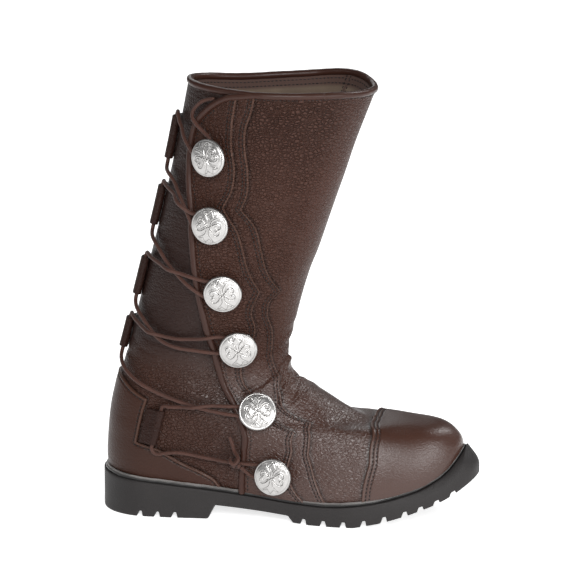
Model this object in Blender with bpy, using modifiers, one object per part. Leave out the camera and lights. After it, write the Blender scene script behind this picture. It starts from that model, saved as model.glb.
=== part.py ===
"""Mid-calf leather wrap boot for the right foot: hollow upper, lugged sole, domed buttons and a cord."""
import math

import bmesh
import bpy
import numpy as np
from mathutils import Matrix

# Every size below is in millimetres and is turned into metres when a mesh is made.
# X runs forward from the sole's back edge, minus Y is the outer side of the foot, Z is up from the floor.
MM = 0.001
ORIGIN_X = 80.0
GAP = 0.35
WALL = 2.4

# Outsole: plan outline, height of its top edge and of its tread along the length.
SOLE_LENGTH = 312.0
SOLE_OUTLINE = dict(back_x=0.0, front_x=SOLE_LENGTH, rear=41.0, middle=38.5, fore=54.5,
                    back_round=0.127, front_round=0.31, swing=8.0)
LIP_LENGTH = 304.0
LIP_OUTLINE = dict(SOLE_OUTLINE, front_x=LIP_LENGTH)
LIP_END = 0.9995
SLOPE_DEPTH = 0.55
WALL_DEPTHS = (0.0, 0.06, 0.14, 0.28, 0.55, 1.0)
SOLE_TOP_X = (0.0, 45.0, 97.0, 130.0, 162.0, 194.0, 221.0, 252.0, 275.0, 290.0, 298.0, LIP_LENGTH)
SOLE_TOP_Z = (33.0, 29.3, 24.3, 20.6, 17.6, 16.8, 18.8, 24.6, 31.6, 38.8, 45.6, 52.6)
TREAD_X = (0.0, 93.0, 98.0, 160.0, 164.0, 178.0, 214.0, 234.0, 246.0, 259.0, 277.0, 288.0, 297.0, 308.0, 312.0)
TREAD_Z = (0.0, 0.0, 12.0, 6.5, 1.0, 0.0, 0.0, 3.6, 6.6, 10.2, 16.2, 20.8, 25.6, 32.4, 35.4)
GROOVE_RUNS = ((36.0, 14.5, 3), (173.0, 16.6, 6), (268.5, 12.5, 3))
TREAD_ZONES = ((6.0, 14.0, 86.0, 94.0), (164.0, 170.0, 290.0, 304.0))
GROOVE_WIDTH = 5.0
GROOVE_DEPTH = 3.0
CHANNEL_SHARE = 0.40
CHANNEL_HALF = 1.8
EDGE_BEVEL = 1.0
FIRST_STATION = 4.0
STATIONS = 24

# Welt and insole.
WELT_INSET = 1.6
WELT_HEIGHT = 3.2
WELT_GAP = 0.6
WELT_LEVEL = 0.32
WELT_CLEARANCE = 0.8
INSOLE_HEIGHT = 3.0
INSOLE_CLEARANCE = 1.1
INSOLE_STATIONS = 15

# Upper, one row for each section from the feather edge to the collar.
# rear, middle and fore are half widths, the rounds are shares of the section's length,
# swing turns the front toward the inner side, cling is how far the section follows the sole's top.
UPPER_COLUMNS = ("back_x", "back_z", "front_x", "front_z", "rear", "middle", "fore",
                 "back_round", "front_round", "swing", "cling")
UPPER_ROWS = (
    (5.5, 32.9, 295.6, 43.8, 34.0, 33.0, 48.0, 0.125, 0.285, 8.0, 1.00),
    (4.6, 45.0, 297.0, 53.2, 35.5, 35.5, 50.5, 0.130, 0.285, 8.0, 0.95),
    (5.0, 56.0, 296.6, 60.8, 36.0, 36.5, 50.0, 0.130, 0.28, 8.0, 0.80),
    (5.8, 67.0, 293.0, 67.4, 36.0, 37.0, 46.5, 0.135, 0.275, 7.5, 0.60),
    (6.6, 76.0, 284.0, 73.0, 36.0, 37.5, 42.0, 0.140, 0.27, 7.0, 0.40),
    (7.6, 84.0, 262.0, 77.5, 35.5, 37.5, 38.0, 0.150, 0.26, 6.0, 0.25),
    (9.0, 92.0, 232.0, 80.0, 35.0, 37.5, 35.0, 0.160, 0.26, 5.0, 0.12),
    (10.8, 100.0, 207.0, 87.0, 34.5, 37.5, 33.0, 0.170, 0.28, 4.0, 0.05),
    (13.0, 109.0, 184.0, 99.5, 34.0, 37.0, 31.5, 0.190, 0.30, 3.0, 0.00),
    (16.5, 120.0, 165.0, 111.5, 34.0, 36.5, 31.0, 0.220, 0.33, 2.0, 0.00),
    (20.5, 134.0, 155.3, 122.5, 34.5, 37.0, 32.0, 0.270, 0.37, 1.0, 0.00),
    (25.0, 151.0, 154.5, 138.0, 36.0, 38.5, 34.5, 0.330, 0.40, 0.0, 0.00),
    (31.0, 176.0, 160.5, 162.0, 38.5, 41.0, 38.0, 0.380, 0.42, 0.0, 0.00),
    (38.5, 206.0, 170.0, 196.0, 42.0, 44.0, 42.0, 0.420, 0.44, 0.0, 0.00),
    (51.0, 256.0, 188.0, 252.0, 46.5, 48.5, 47.5, 0.450, 0.45, 0.0, 0.00),
    (62.5, 308.0, 206.7, 306.5, 49.5, 52.0, 51.5, 0.470, 0.45, 2.0, 0.00),
    (73.0, 358.0, 225.0, 356.5, 50.5, 53.5, 54.5, 0.480, 0.42, 6.0, 0.00),
)
TOP_LEVEL = len(UPPER_ROWS) - 1
UPPER_AROUND = 40
UPPER_LEVELS = (0.0, 0.6, 1.2, 2.0, 2.8, 3.6, 4.4, 5.0, 5.5, 6.0, 6.4, 6.8, 7.2, 7.7, 8.3, 9.0, 9.6, 10.2, 10.8,
                11.5, 12.2, 12.9, 14.2, 15.0, 16.0)
BODY_SHARES = (0.15, 0.42, 0.70)
SWING_FROM = 0.40
ARCH_SHARE = 0.30
ARCH_REACH = 0.75


# Overlays lie on the upper between two angles at each level.
OVERLAY_GAP = 0.5
CAP_GAP = 0.75
FACING_GAP = 0.5
LEATHER = 1.3
FACING = 1.0
CAP_LEVEL = (0.44, 1.1, 1.8, 2.4, 2.9, 3.5, 4.1, 4.7, 5.2, 5.6, 6.0, 6.33)
CAP_HALF = (61.6, 61.4, 60.9, 59.9, 58.0, 55.5, 52.2, 47.5, 40.0, 32.0, 21.0, 4.0)
CAP_COLUMNS = 16
CAP_TIP_LIFT = 0.5
COUNTER_SHARE = (0.0, 0.17, 0.34, 0.51, 0.68, 0.84, 1.0)
COUNTER_TOP = (8.62, 8.58, 8.48, 8.3, 7.98, 7.55, 7.14)
COUNTER_EDGE = (2.7, 36.0, 2.6)
WING_ANGLE = (37.2, 42.5, 47.5, 52.5, 57.0, 61.0, 65.4, 68.9, 71.0)
WING_TOP = (2.66, 2.56, 2.45, 2.12, 1.8, 1.55, 1.3, 0.97, 0.7)
COUNTER_FOOT = 0.46
WING_STEPS = 3
COUNTER_STEPS = 5
WIDE_COLUMNS = 6
NARROW_COLUMNS = 4
WRAP_LEVEL = (0.46, 1.3, 2.3, 3.5, 4.4, 4.9, 5.3, 6.05, 6.8, 7.6, 8.1, 8.6, 9.1, 9.6, 10.8, 11.8, 12.3, 12.9, 13.15,
              13.4, 13.8, 14.0, 14.2, 14.5, 14.8, 15.2, 15.4, 15.58, 15.71, 15.81)
WRAP_EDGE = (79.4, 79.4, 80.0, 81.3, 83.5, 85.1, 87.0, 91.0, 94.6, 98.3, 100.0, 101.5, 102.8, 103.8, 101.0, 90.4,
             84.7, 77.2, 73.2, 69.0, 62.2, 59.2, 56.1, 50.6, 46.5, 43.2, 44.0, 49.0, 54.4, 60.0)
NARROW_EDGE = (99.6, 95.8, 93.9, 96.3, 98.9, 102.2, 101.5, 104.0, 108.0, 111.0, 112.5, 114.0, 115.5, 117.0, 122.0,
               126.0, 118.6, 119.9, 111.5, 104.2, 94.0, 87.0, 78.7, 81.4, 79.5, 73.0, 71.0, 70.0, 69.5, 69.0)
WIDE_EDGE = (106.5, 104.4, 102.4, 102.0, 107.0, 110.0, 112.3, 121.3, 120.6, 124.0, 130.0, 137.0, 143.5, 150.0, 147.0,
             142.0, 132.0, 136.9, 126.5, 117.5, 106.8, 99.5, 91.0, 91.0, 87.8, 81.6, 79.8, 80.0, 80.4, 80.2)

# Rolled edges of the wrap and of the collar.
ROLL_RADIUS = 1.9
ROLL_SETBACK = 2.6
ROLL_STEPS = 120
BINDING_LEATHER = 1.2
BINDING_DEPTH = 5.0

# Domed buttons: level and angle of each, then the turned profile.
BUTTON_LEVEL = (14.98, 13.95, 12.88, 11.26, 6.76, 2.10)
BUTTON_ANGLE = (62.4, 74.4, 93.7, 114.1, 102.2, 89.6)
BUTTON_RADIUS = 15.6
BUTTON_FOOT = 3.7
BUTTON_UNDER = 9.2
BUTTON_RIM = 1.3
BUTTON_DOME = 4.4
BUTTON_CURVE = ((0.86, 0.45), (0.5, 0.85), (0.0, 1.0))
SHANK_RADIUS = 4.6
BUTTON_STEPS = 12

# Lace tabs: levels of the two ends, angle of the tunnel at each end.
TAB_LOW = (14.75, 13.69, 12.19, 10.05, 2.86)
TAB_HIGH = (15.40, 14.31, 13.14, 11.37, 6.20)
TAB_ANGLE_LOW = (6.0, 8.0, 11.0, 6.0, 44.6)
TAB_ANGLE_HIGH = (6.0, 8.0, 11.0, 6.0, 54.4)
TAB_STEPS = (2, 2, 2, 3, 5)
TAB_REACH = (15.0, 15.0, 15.0, 15.0, 9.0)
TUNNEL_RADIUS = 2.85

# Cord.
LACE_RADIUS = 1.6
LACE_SIDES = 2
LACE_ON_BACK = 4.1
LACE_OVER_ROLL = 6.6
LACE_AT_BUTTON = 5.4
LACE_CLEAR = 4.0
LACE_START = (15.78, 43.7)
LACE_HANG = (15.62, 38.2)
LACE_INTO_TAB = (7.0, 4.6)
LACE_OUT_OF_TAB = (3.0, -7.6)
LACE_TURN = 6.6
LACE_TOLERANCE = 0.4
ROLL_TOLERANCE = 0.25
# Level and angle that each strand passes: from a button back to its tab, then from the tab to the next button.
# The strand back to the tab steps over the other one at this distance from the wrap's edge.
UP_PASS = ((15.24, 33.0), (14.28, 40.8), (13.14, 55.0), (11.28, 68.0), (7.22, 80.0))
DOWN_PASS = (((14.50, 31.0), (14.26, 46.3)), ((13.46, 28.2), (13.13, 54.0)), ((11.68, 33.0), (11.04, 61.0)),
             ((8.94, 32.0), (7.60, 63.0)), ((2.51, 55.1), (2.45, 66.0)))
CROSSING = (None, -8.2, -23.0, -53.7, -35.5)
STEP_OVER = 5.4
STEP_LENGTH = 9.0
KNOT_TURNS = 1.6
KNOT_PITCH = 3.8
KNOT_BACK = -33.0


def smooth(knots, values, at):
    """Read a smooth curve through a table at the given places."""
    knots = np.asarray(knots, float)
    values = np.asarray(values, float)
    slopes = np.gradient(values, knots)
    at = np.clip(np.asarray(at, float), knots[0], knots[-1])
    cell = np.clip(np.searchsorted(knots, at, side="right") - 1, 0, len(knots) - 2)
    span = knots[cell + 1] - knots[cell]
    share = (at - knots[cell]) / span
    rest = 1.0 - share
    start = values[cell] * (1.0 + 2.0 * share) + slopes[cell] * span * share
    end = values[cell + 1] * (1.0 + 2.0 * rest) - slopes[cell + 1] * span * rest
    return start * rest * rest + end * share * share


def ease(value, low, high):
    """Rise smoothly from 0 at low to 1 at high."""
    share = np.clip((value - low) / (high - low), 0.0, 1.0)
    return share * share * (3.0 - 2.0 * share)


def sole_top(x):
    """Height of the outsole's top edge."""
    return smooth(SOLE_TOP_X, SOLE_TOP_Z, x)


def half_width(row, share):
    """Half width of a section at a share of its length, closed by a round at each end."""
    low, mid, high = BODY_SHARES
    slope = (row["fore"] - row["rear"]) / (high - low)
    first = np.clip((share - low) / (mid - low), 0.0, 1.0)
    second = np.clip((share - mid) / (high - mid), 0.0, 1.0)
    back_part = row["rear"] + (row["middle"] - row["rear"]) * first * first * (3.0 - 2.0 * first)
    back_part = back_part + slope * (mid - low) * first * first * (first - 1.0)
    fore_part = row["middle"] + (row["fore"] - row["middle"]) * second * second * (3.0 - 2.0 * second)
    fore_part = fore_part + slope * (high - mid) * second * (1.0 - second) ** 2
    body = np.where(share < mid, back_part, fore_part)
    back = np.clip((row["back_round"] - share) / row["back_round"], 0.0, 1.0)
    front = np.clip((share - 1.0 + row["front_round"]) / row["front_round"], 0.0, 1.0)
    return body * np.sqrt(1.0 - back ** 2) * np.sqrt(1.0 - front ** 2)


def plan(row, angle):
    """Plan of a section: the angle runs from the back over the outer side to the toe and round."""
    turn = np.radians(angle)
    share = (1.0 - np.cos(turn)) / 2.0
    x = row["back_x"] + (row["front_x"] - row["back_x"]) * share
    middle = ease(share, SWING_FROM, 1.0) - ARCH_SHARE * np.sin(np.pi * np.clip(share / ARCH_REACH, 0.0, 1.0)) ** 2
    y = row["swing"] * middle - np.sign(np.sin(turn)) * half_width(row, share)
    return x, y, share


def upper_row(level):
    """Section values of the upper between the rows of its table."""
    levels = np.arange(len(UPPER_ROWS))
    table = np.array(UPPER_ROWS)
    return {name: smooth(levels, table[:, place], level) for place, name in enumerate(UPPER_COLUMNS)}


def form(level, angle):
    """Point on the outside of the upper."""
    level, angle = np.broadcast_arrays(np.asarray(level, float), np.asarray(angle, float))
    row = upper_row(level)
    x, y, share = plan(row, angle)
    straight = row["back_z"] + (row["front_z"] - row["back_z"]) * share
    back_top = sole_top(row["back_x"])
    chord = back_top + (sole_top(row["front_x"]) - back_top) * share
    z = straight + row["cling"] * (sole_top(x) - chord)
    return np.stack([x, y, z], -1)


def normal(level, angle):
    """Outward direction of the upper's outside."""
    level, angle = np.broadcast_arrays(np.asarray(level, float), np.asarray(angle, float))
    step = 0.02
    up = form(np.minimum(level + step, TOP_LEVEL), angle) - form(np.maximum(level - step, 0.0), angle)
    around = form(level, angle + 0.5) - form(level, angle - 0.5)
    out = np.cross(around, up)
    return out / np.linalg.norm(out, axis=-1, keepdims=True)


def lifted(level, angle, height):
    """Point a given height off the upper's outside."""
    return form(level, angle) + normal(level, angle) * np.asarray(height, float)[..., None]


def collection(name):
    """New collection under the scene's own."""
    made = bpy.data.collections.new(name)
    bpy.context.scene.collection.children.link(made)
    return made


def material(name, colour, roughness, metallic=0.0):
    """Plain surface finish for one sub-part."""
    made = bpy.data.materials.new(name)
    made.use_nodes = True
    shader = made.node_tree.nodes["Principled BSDF"]
    shader.inputs["Base Color"].default_value = (*colour, 1.0)
    shader.inputs["Roughness"].default_value = roughness
    shader.inputs["Metallic"].default_value = metallic
    return made


def place(points):
    """Millimetres from the sole's back edge to metres about the origin."""
    return (np.asarray(points, float) - np.array([ORIGIN_X, 0.0, 0.0])) * MM


def mesh_object(name, points, faces, finish):
    """Object from points in millimetres and faces, normals made to agree."""
    mesh = bpy.data.meshes.new(name)
    mesh.from_pydata(place(points).tolist(), [], faces)
    mesh.materials.append(finish)
    body = bmesh.new()
    body.from_mesh(mesh)
    bmesh.ops.recalc_face_normals(body, faces=body.faces)
    body.to_mesh(mesh)
    body.free()
    made = bpy.data.objects.new(name, mesh)
    PARTS.objects.link(made)
    return made


def loft(name, sections, finish, ring=False):
    """Closed body through a run of sections, capped at both ends unless it runs in a ring."""
    sections = np.asarray(sections, float)
    count, size = sections.shape[:2]
    faces = []
    for row in range(count if ring else count - 1):
        here = row * size
        there = (row + 1) % count * size
        for column in range(size):
            following = (column + 1) % size
            faces.append((here + column, here + following, there + following, there + column))
    if not ring:
        faces.append(tuple(range(size)))
        faces.append(tuple(range((count - 1) * size, count * size)))
    return mesh_object(name, sections.reshape(-1, 3), faces, finish)


def sheet(name, grid, thickness, side, finish, closed=False, kept=None):
    """Open sheet of leather over the kept cells of a grid, thickened to one side or to both."""
    grid = np.asarray(grid, float)
    rows, columns = grid.shape[:2]
    faces = []
    for row in range(rows - 1):
        for column in range(columns if closed else columns - 1):
            if kept is not None and not kept[row, column]:
                continue
            following = (column + 1) % columns
            here = row * columns
            faces.append((here + column, here + following, here + columns + following, here + columns + column))
    used = sorted({corner for face in faces for corner in face})
    order = {corner: number for number, corner in enumerate(used)}
    faces = [tuple(order[corner] for corner in face) for face in faces]
    mesh = bpy.data.meshes.new(name)
    mesh.from_pydata(place(grid.reshape(-1, 3)[used]).tolist(), [], faces)
    mesh.materials.append(finish)
    made = bpy.data.objects.new(name, mesh)
    PARTS.objects.link(made)
    shell = made.modifiers.new("thickness", "SOLIDIFY")
    shell.thickness = thickness * MM
    shell.offset = side
    shell.use_quality_normals = True
    shell.use_even_offset = True
    return made


def cord(name, points, radius, finish):
    """Round cord along a run of points."""
    curve = bpy.data.curves.new(name, "CURVE")
    curve.dimensions = "3D"
    curve.bevel_depth = radius * MM
    curve.bevel_resolution = LACE_SIDES
    curve.use_fill_caps = True
    path = curve.splines.new("POLY")
    path.points.add(len(points) - 1)
    for point, spot in zip(path.points, place(points)):
        point.co = (*spot, 1.0)
    curve.materials.append(finish)
    made = bpy.data.objects.new(name, curve)
    PARTS.objects.link(made)
    return made


def tread_stations():
    """Places along the sole with the lift of the tread there, grooves included."""
    turns = np.radians(np.linspace(FIRST_STATION, 180.0 - FIRST_STATION, STATIONS))
    plain = [SOLE_LENGTH * (1.0 - math.cos(turn)) / 2.0 for turn in turns]
    plain += [x for x in TREAD_X if plain[0] < x < plain[-1]]
    grooves = [first + pitch * number for first, pitch, count in GROOVE_RUNS for number in range(count)]
    clear = GROOVE_WIDTH / 2.0 + 1.5
    stations = [(x, 0.0) for x in plain if all(abs(x - groove) > clear for groove in grooves)]
    for groove in grooves:
        for side in (-1.0, 1.0):
            stations.append((groove + side * GROOVE_WIDTH / 2.0, 0.0))
            stations.append((groove + side * GROOVE_WIDTH / 4.0, GROOVE_DEPTH))
    stations.sort()
    spaced = [stations[0]]
    for station in stations[1:]:
        if station[0] - spaced[-1][0] > 0.8:
            spaced.append(station)
    return spaced


def sole_wall(x, depth):
    """Outer and inner side of the outsole at a share of its depth, its toe sloping out below the lip."""
    front = LIP_LENGTH + (SOLE_LENGTH - LIP_LENGTH) * min(depth / SLOPE_DEPTH, 1.0)
    outline = dict(SOLE_OUTLINE, front_x=front)
    angle = math.degrees(math.acos(1.0 - 2.0 * min(x / front, LIP_END)))
    return float(plan(outline, angle)[1]), float(plan(outline, 360.0 - angle)[1])


def make_outsole(finish):
    """Outsole as a run of cross sections with heel, arch, toe spring and lugs."""
    sections = []
    for x, lift in tread_stations():
        y_outer, y_inner = sole_wall(x, 1.0)
        half = (y_inner - y_outer) / 2.0
        centre = (y_inner + y_outer) / 2.0
        top = float(sole_top(x))
        base = float(np.interp(x, TREAD_X, TREAD_Z))
        bottom = base + lift
        on_tread = sum(float(ease(x, *zone[:2]) - ease(x, *zone[2:])) for zone in TREAD_ZONES)
        roof = max(bottom, base + GROOVE_DEPTH * on_tread)
        channel = half * CHANNEL_SHARE
        mouth = min(CHANNEL_HALF, half * 0.1)
        start = SLOPE_DEPTH * max(x - LIP_LENGTH, 0.0) / (SOLE_LENGTH - LIP_LENGTH)
        depths = [start + (1.0 - start) * share for share in WALL_DEPTHS]
        walls = [(*sole_wall(x, depth), top + (bottom - top) * depth) for depth in depths]
        tread = [(channel + mouth, bottom), (channel + mouth / 2.0, roof)]
        tread += [(channel - mouth / 2.0, roof), (channel - mouth, bottom)]
        outline = [(inner, z) for _, inner, z in walls] + [(centre + y, z) for y, z in tread]
        outline += [(centre - y, z) for y, z in reversed(tread)] + [(outer, z) for outer, _, z in reversed(walls)]
        sections.append([(x, y, z) for y, z in outline])
    return loft("outsole", sections, finish)


def make_welt(finish):
    """Strip on the outsole's edge, close round the foot of the upper."""
    angles = np.arange(UPPER_AROUND) * 360.0 / UPPER_AROUND
    x, y, _ = plan(LIP_OUTLINE, angles)
    outer = np.stack([x, y], -1)
    along = np.roll(outer, -1, 0) - np.roll(outer, 1, 0)
    inward = np.stack([-along[:, 1], along[:, 0]], -1) / np.linalg.norm(along, axis=1, keepdims=True)
    outer = outer + inward * WELT_INSET
    clearance = np.full_like(angles, WELT_CLEARANCE)
    low = lifted(np.zeros_like(angles), angles, clearance)[:, :2]
    high = lifted(np.full_like(angles, WELT_LEVEL), angles, clearance)[:, :2]
    bevelled = outer + inward * EDGE_BEVEL
    steps = ((outer, WELT_GAP), (outer, WELT_HEIGHT - EDGE_BEVEL), (bevelled, WELT_HEIGHT),
             (high, WELT_HEIGHT), (low, WELT_GAP))
    columns = [np.column_stack([spot, sole_top(spot[:, 0]) + height]) for spot, height in steps]
    return loft("welt", np.stack(columns, 1), finish, ring=True)


def make_insole(finish):
    """Plate inside the upper on top of the outsole."""
    sections = []
    for angle in np.linspace(8.0, 172.0, INSOLE_STATIONS):
        spots = [lifted(0.0, turn, -WALL - INSOLE_CLEARANCE) for turn in (angle, 360.0 - angle)]
        low = [(x, y, float(sole_top(x)) + GAP) for x, y, _ in spots]
        high = [(x, y, z + INSOLE_HEIGHT) for x, y, z in reversed(low)]
        sections.append(low + high)
    return loft("insole", sections, finish)


def make_upper(finish):
    """Hollow upper, open at the collar and underneath."""
    angles = np.arange(UPPER_AROUND) * 360.0 / UPPER_AROUND
    grid = form(np.array(UPPER_LEVELS)[:, None], angles[None, :])
    return sheet("upper", grid, WALL, -1.0, finish, closed=True)


def panel(name, levels, angles, height, thickness, finish, kept=None):
    """Overlay that follows the upper over a grid of levels and angles."""
    grid = lifted(levels, angles, np.full(angles.shape, height))
    return sheet(name, grid, thickness, 1.0, finish, kept=kept)


def band(levels, starts, ends, columns):
    """Grid of levels and angles between two angles at each level."""
    share = np.linspace(0.0, 1.0, columns + 1)
    angles = np.asarray(starts)[:, None] * (1.0 - share) + np.asarray(ends)[:, None] * share
    return np.repeat(np.asarray(levels, float)[:, None], columns + 1, 1), angles


def make_toe_cap(finish):
    """Overlay over the toe, its foot raised at the tip to clear the welt."""
    half = np.array(CAP_HALF)
    levels, angles = band(CAP_LEVEL, 180.0 - half, 180.0 + half, CAP_COLUMNS)
    levels[0] += CAP_TIP_LIFT * np.sin(np.linspace(0.0, np.pi, CAP_COLUMNS + 1)) ** 2
    return panel("toe_cap", levels, angles, CAP_GAP, LEATHER, finish)


def make_counter(finish):
    """Overlay round the heel, high at the back and low along the sole."""
    level, angle, lean = COUNTER_EDGE
    high = len(COUNTER_TOP)
    low_share = np.linspace(0.0, 1.0, WING_STEPS + 1)[:, None]
    high_share = np.linspace(0.0, 1.0, COUNTER_STEPS + 1)[1:, None]
    low_tops = np.array((level,) * high + WING_TOP)
    high_tops = np.array(COUNTER_TOP + WING_TOP)
    low_levels = COUNTER_FOOT + (low_tops - COUNTER_FOOT) * low_share
    levels = np.concatenate([low_levels, low_tops + (high_tops - low_tops) * high_share])
    high_angles = np.array(COUNTER_SHARE) * (angle + lean * (levels[:, :high] - level))
    wing_angles = np.repeat(np.array(WING_ANGLE)[None, :], len(levels), 0)
    angles = np.concatenate([high_angles, wing_angles], 1)
    angles = np.concatenate([-angles[:, :0:-1], angles], 1)
    levels = np.concatenate([levels[:, :0:-1], levels], 1)
    kept = np.ones((len(levels) - 1, levels.shape[1] - 1), bool)
    kept[WING_STEPS:, :len(WING_TOP)] = False
    kept[WING_STEPS:, -len(WING_TOP):] = False
    return panel("heel_counter", levels, angles, CAP_GAP, LEATHER, finish, kept)


def make_wrap(finishes):
    """Two scalloped facings along the wrap edge and the roll that finishes it."""
    panel("facing_wide", *band(WRAP_LEVEL, WRAP_EDGE, WIDE_EDGE, WIDE_COLUMNS), OVERLAY_GAP, FACING,
          finishes["leather"])
    panel("facing_narrow", *band(WRAP_LEVEL, WRAP_EDGE, NARROW_EDGE, NARROW_COLUMNS),
          OVERLAY_GAP + FACING + FACING_GAP, FACING, finishes["dark_leather"])
    levels = np.linspace(WRAP_LEVEL[0], WRAP_LEVEL[-1], ROLL_STEPS)
    edge = smooth(WRAP_LEVEL, WRAP_EDGE, levels)
    spots = lifted(levels, edge, np.full(ROLL_STEPS, OVERLAY_GAP + ROLL_RADIUS))
    along = np.gradient(spots, axis=0)
    aside = np.cross(along, normal(levels, edge))
    aside = aside / np.linalg.norm(aside, axis=1, keepdims=True)
    cord("flap_binding", thinned(spots - aside * ROLL_SETBACK, ROLL_TOLERANCE), ROLL_RADIUS, finishes["dark_leather"])


def make_collar_binding(finish):
    """Folded strip over the rim of the collar."""
    angles = np.arange(UPPER_AROUND) * 360.0 / UPPER_AROUND
    level = np.full_like(angles, TOP_LEVEL)
    out = normal(level, angles)
    rise = form(level, angles) - form(level - 0.1, angles)
    rise = rise / np.linalg.norm(rise, axis=1, keepdims=True)
    rim = form(level, angles) - out * WALL / 2.0
    inside = WALL / 2.0 + GAP
    outside = inside + BINDING_LEATHER
    profile = [(inside, GAP), (inside, -BINDING_DEPTH), (outside, -BINDING_DEPTH), (outside, 0.0)]
    profile += [(0.0, outside * 0.8), (-outside, 0.0)]
    profile += [(-outside, -BINDING_DEPTH), (-inside, -BINDING_DEPTH), (-inside, GAP)]
    columns = [rim + out * across + rise * height for across, height in profile]
    return loft("collar_binding", np.stack(columns, 1), finish, ring=True)


def button_frame(number):
    """Seat of a button on the upper, with its forward, upward and outward directions."""
    level = BUTTON_LEVEL[number]
    angle = BUTTON_ANGLE[number]
    out = normal(level, angle)
    upward = np.array([0.0, 0.0, 1.0]) - out * out[2]
    upward = upward / np.linalg.norm(upward)
    return form(level, angle), np.cross(upward, out), upward, out


def make_button(number, finish):
    """Domed button turned about its shank."""
    seat, forward, upward, out = button_frame(number)
    top = BUTTON_UNDER + BUTTON_RIM
    profile = [(0.0, BUTTON_FOOT), (SHANK_RADIUS, BUTTON_FOOT), (SHANK_RADIUS, BUTTON_UNDER)]
    profile += [(BUTTON_RADIUS, BUTTON_UNDER), (BUTTON_RADIUS, top)]
    profile += [(BUTTON_RADIUS * reach, top + BUTTON_DOME * rise) for reach, rise in BUTTON_CURVE]
    name = "button_%d" % (number + 1)
    mesh = bpy.data.meshes.new(name)
    points = [(radius * MM, 0.0, height * MM) for radius, height in profile]
    mesh.from_pydata(points, [(end, end + 1) for end in range(len(points) - 1)], [])
    mesh.materials.append(finish)
    made = bpy.data.objects.new(name, mesh)
    PARTS.objects.link(made)
    turned = made.modifiers.new("turned", "SCREW")
    turned.axis = "Z"
    turned.angle = 2.0 * math.pi
    turned.steps = BUTTON_STEPS
    turned.render_steps = BUTTON_STEPS
    turned.use_merge_vertices = True
    turned.merge_threshold = 0.00002
    turned.use_normal_calculate = True
    frame = np.eye(4)
    frame[:3, 0] = forward
    frame[:3, 1] = upward
    frame[:3, 2] = out
    frame[:3, 3] = place(seat)
    made.matrix_basis = Matrix(frame.tolist())
    return made


def tab_ends(number):
    """Levels and tunnel angles along one lace tab."""
    levels = np.linspace(TAB_LOW[number], TAB_HIGH[number], TAB_STEPS[number] + 1)
    angles = np.linspace(TAB_ANGLE_LOW[number], TAB_ANGLE_HIGH[number], TAB_STEPS[number] + 1)
    return levels, angles


def tunnel_height():
    """Height of a tunnel's middle off the upper."""
    return OVERLAY_GAP + LEATHER / 2.0 + TUNNEL_RADIUS


def make_tab(number, finish):
    """Leather strip folded round the cord, both ends flat on the upper."""
    reach = TAB_REACH[number]
    low = OVERLAY_GAP + LEATHER / 2.0
    path = [(-reach, low), (-reach / 2.0, low), (-1.0, low)]
    for turn in (-60.0, -20.0, 20.0, 60.0):
        path.append((TUNNEL_RADIUS * math.cos(math.radians(turn)),
                     tunnel_height() + TUNNEL_RADIUS * math.sin(math.radians(turn))))
    path += [(-1.0, low + 2.0 * TUNNEL_RADIUS), (-reach / 2.0, low + 0.5 * (LEATHER + GAP) + TUNNEL_RADIUS)]
    path += [(-reach, low + LEATHER + GAP)]
    levels, angles = tab_ends(number)
    axis = form(levels[-1], angles[-1]) - form(levels[0], angles[0])
    rows = []
    for level, angle in zip(levels, angles):
        around = (form(level, angle + 1.0) - form(level, angle - 1.0)) / 2.0
        arc = np.linalg.norm(np.cross(around, axis)) / np.linalg.norm(axis)
        rows.append([lifted(level, angle + along / arc, height) for along, height in path])
    return sheet("lace_tab_%d" % (number + 1), rows, LEATHER, 0.0, finish)


def roll_distance(level, angle):
    """Distance along the upper from the wrap's edge, minus behind it."""
    edge = np.interp(level, WRAP_LEVEL, WRAP_EDGE)
    arc = np.linalg.norm(form(level, edge + 1.0) - form(level, edge - 1.0), axis=-1) / 2.0
    return (angle - edge) * arc


def strand(stops, count, heights, crossing=None):
    """Run of cord points over the upper past places given as level and angle, over another strand at a crossing."""
    stops = np.array(stops)
    spots = form(stops[:, 0], stops[:, 1])
    length = np.concatenate([[0.0], np.cumsum(np.linalg.norm(np.diff(spots, axis=0), axis=1))])
    at = np.linspace(0.0, length[-1], count)
    level = smooth(length, stops[:, 0], at)
    angle = smooth(length, stops[:, 1], at)
    distance = roll_distance(level, angle)
    height = np.interp(distance, heights[0], heights[1])
    if crossing is not None:
        height = height + STEP_OVER * np.exp(-((distance - crossing) / STEP_LENGTH) ** 2)
    return list(lifted(level, angle, height))


def turn_about(number, start, end, count):
    """Cord points round a button's shank, by clock angle from forward toward up."""
    seat, forward, upward, out = button_frame(number)
    points = []
    for turn in np.radians(np.linspace(start, end, count)):
        points.append(seat + out * LACE_AT_BUTTON + LACE_TURN * (forward * math.cos(turn) + upward * math.sin(turn)))
    return points


def rounded(points, steps=8):
    """Smooth run through the points."""
    points = np.asarray(points, float)
    length = np.concatenate([[0.0], np.cumsum(np.linalg.norm(np.diff(points, axis=0), axis=1) ** 0.5)])
    at = np.concatenate([np.linspace(a, b, steps, endpoint=False) for a, b in zip(length[:-1], length[1:])])
    at = np.append(at, length[-1])
    return np.stack([smooth(length, points[:, axis], at) for axis in range(3)], -1)


def thinned(points, tolerance):
    """Fewest of the points that keep the run within the tolerance."""
    keep = {0, len(points) - 1}
    spans = [(0, len(points) - 1)]
    while spans:
        first, last = spans.pop()
        if last - first < 2:
            continue
        chord = points[last] - points[first]
        chord = chord / max(np.linalg.norm(chord), 1e-9)
        between = points[first + 1:last] - points[first]
        off = np.linalg.norm(between - np.outer(between @ chord, chord), axis=1)
        worst = int(np.argmax(off))
        if off[worst] > tolerance:
            middle = first + 1 + worst
            keep.add(middle)
            spans += [(first, middle), (middle, last)]
    return points[sorted(keep)]


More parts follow.
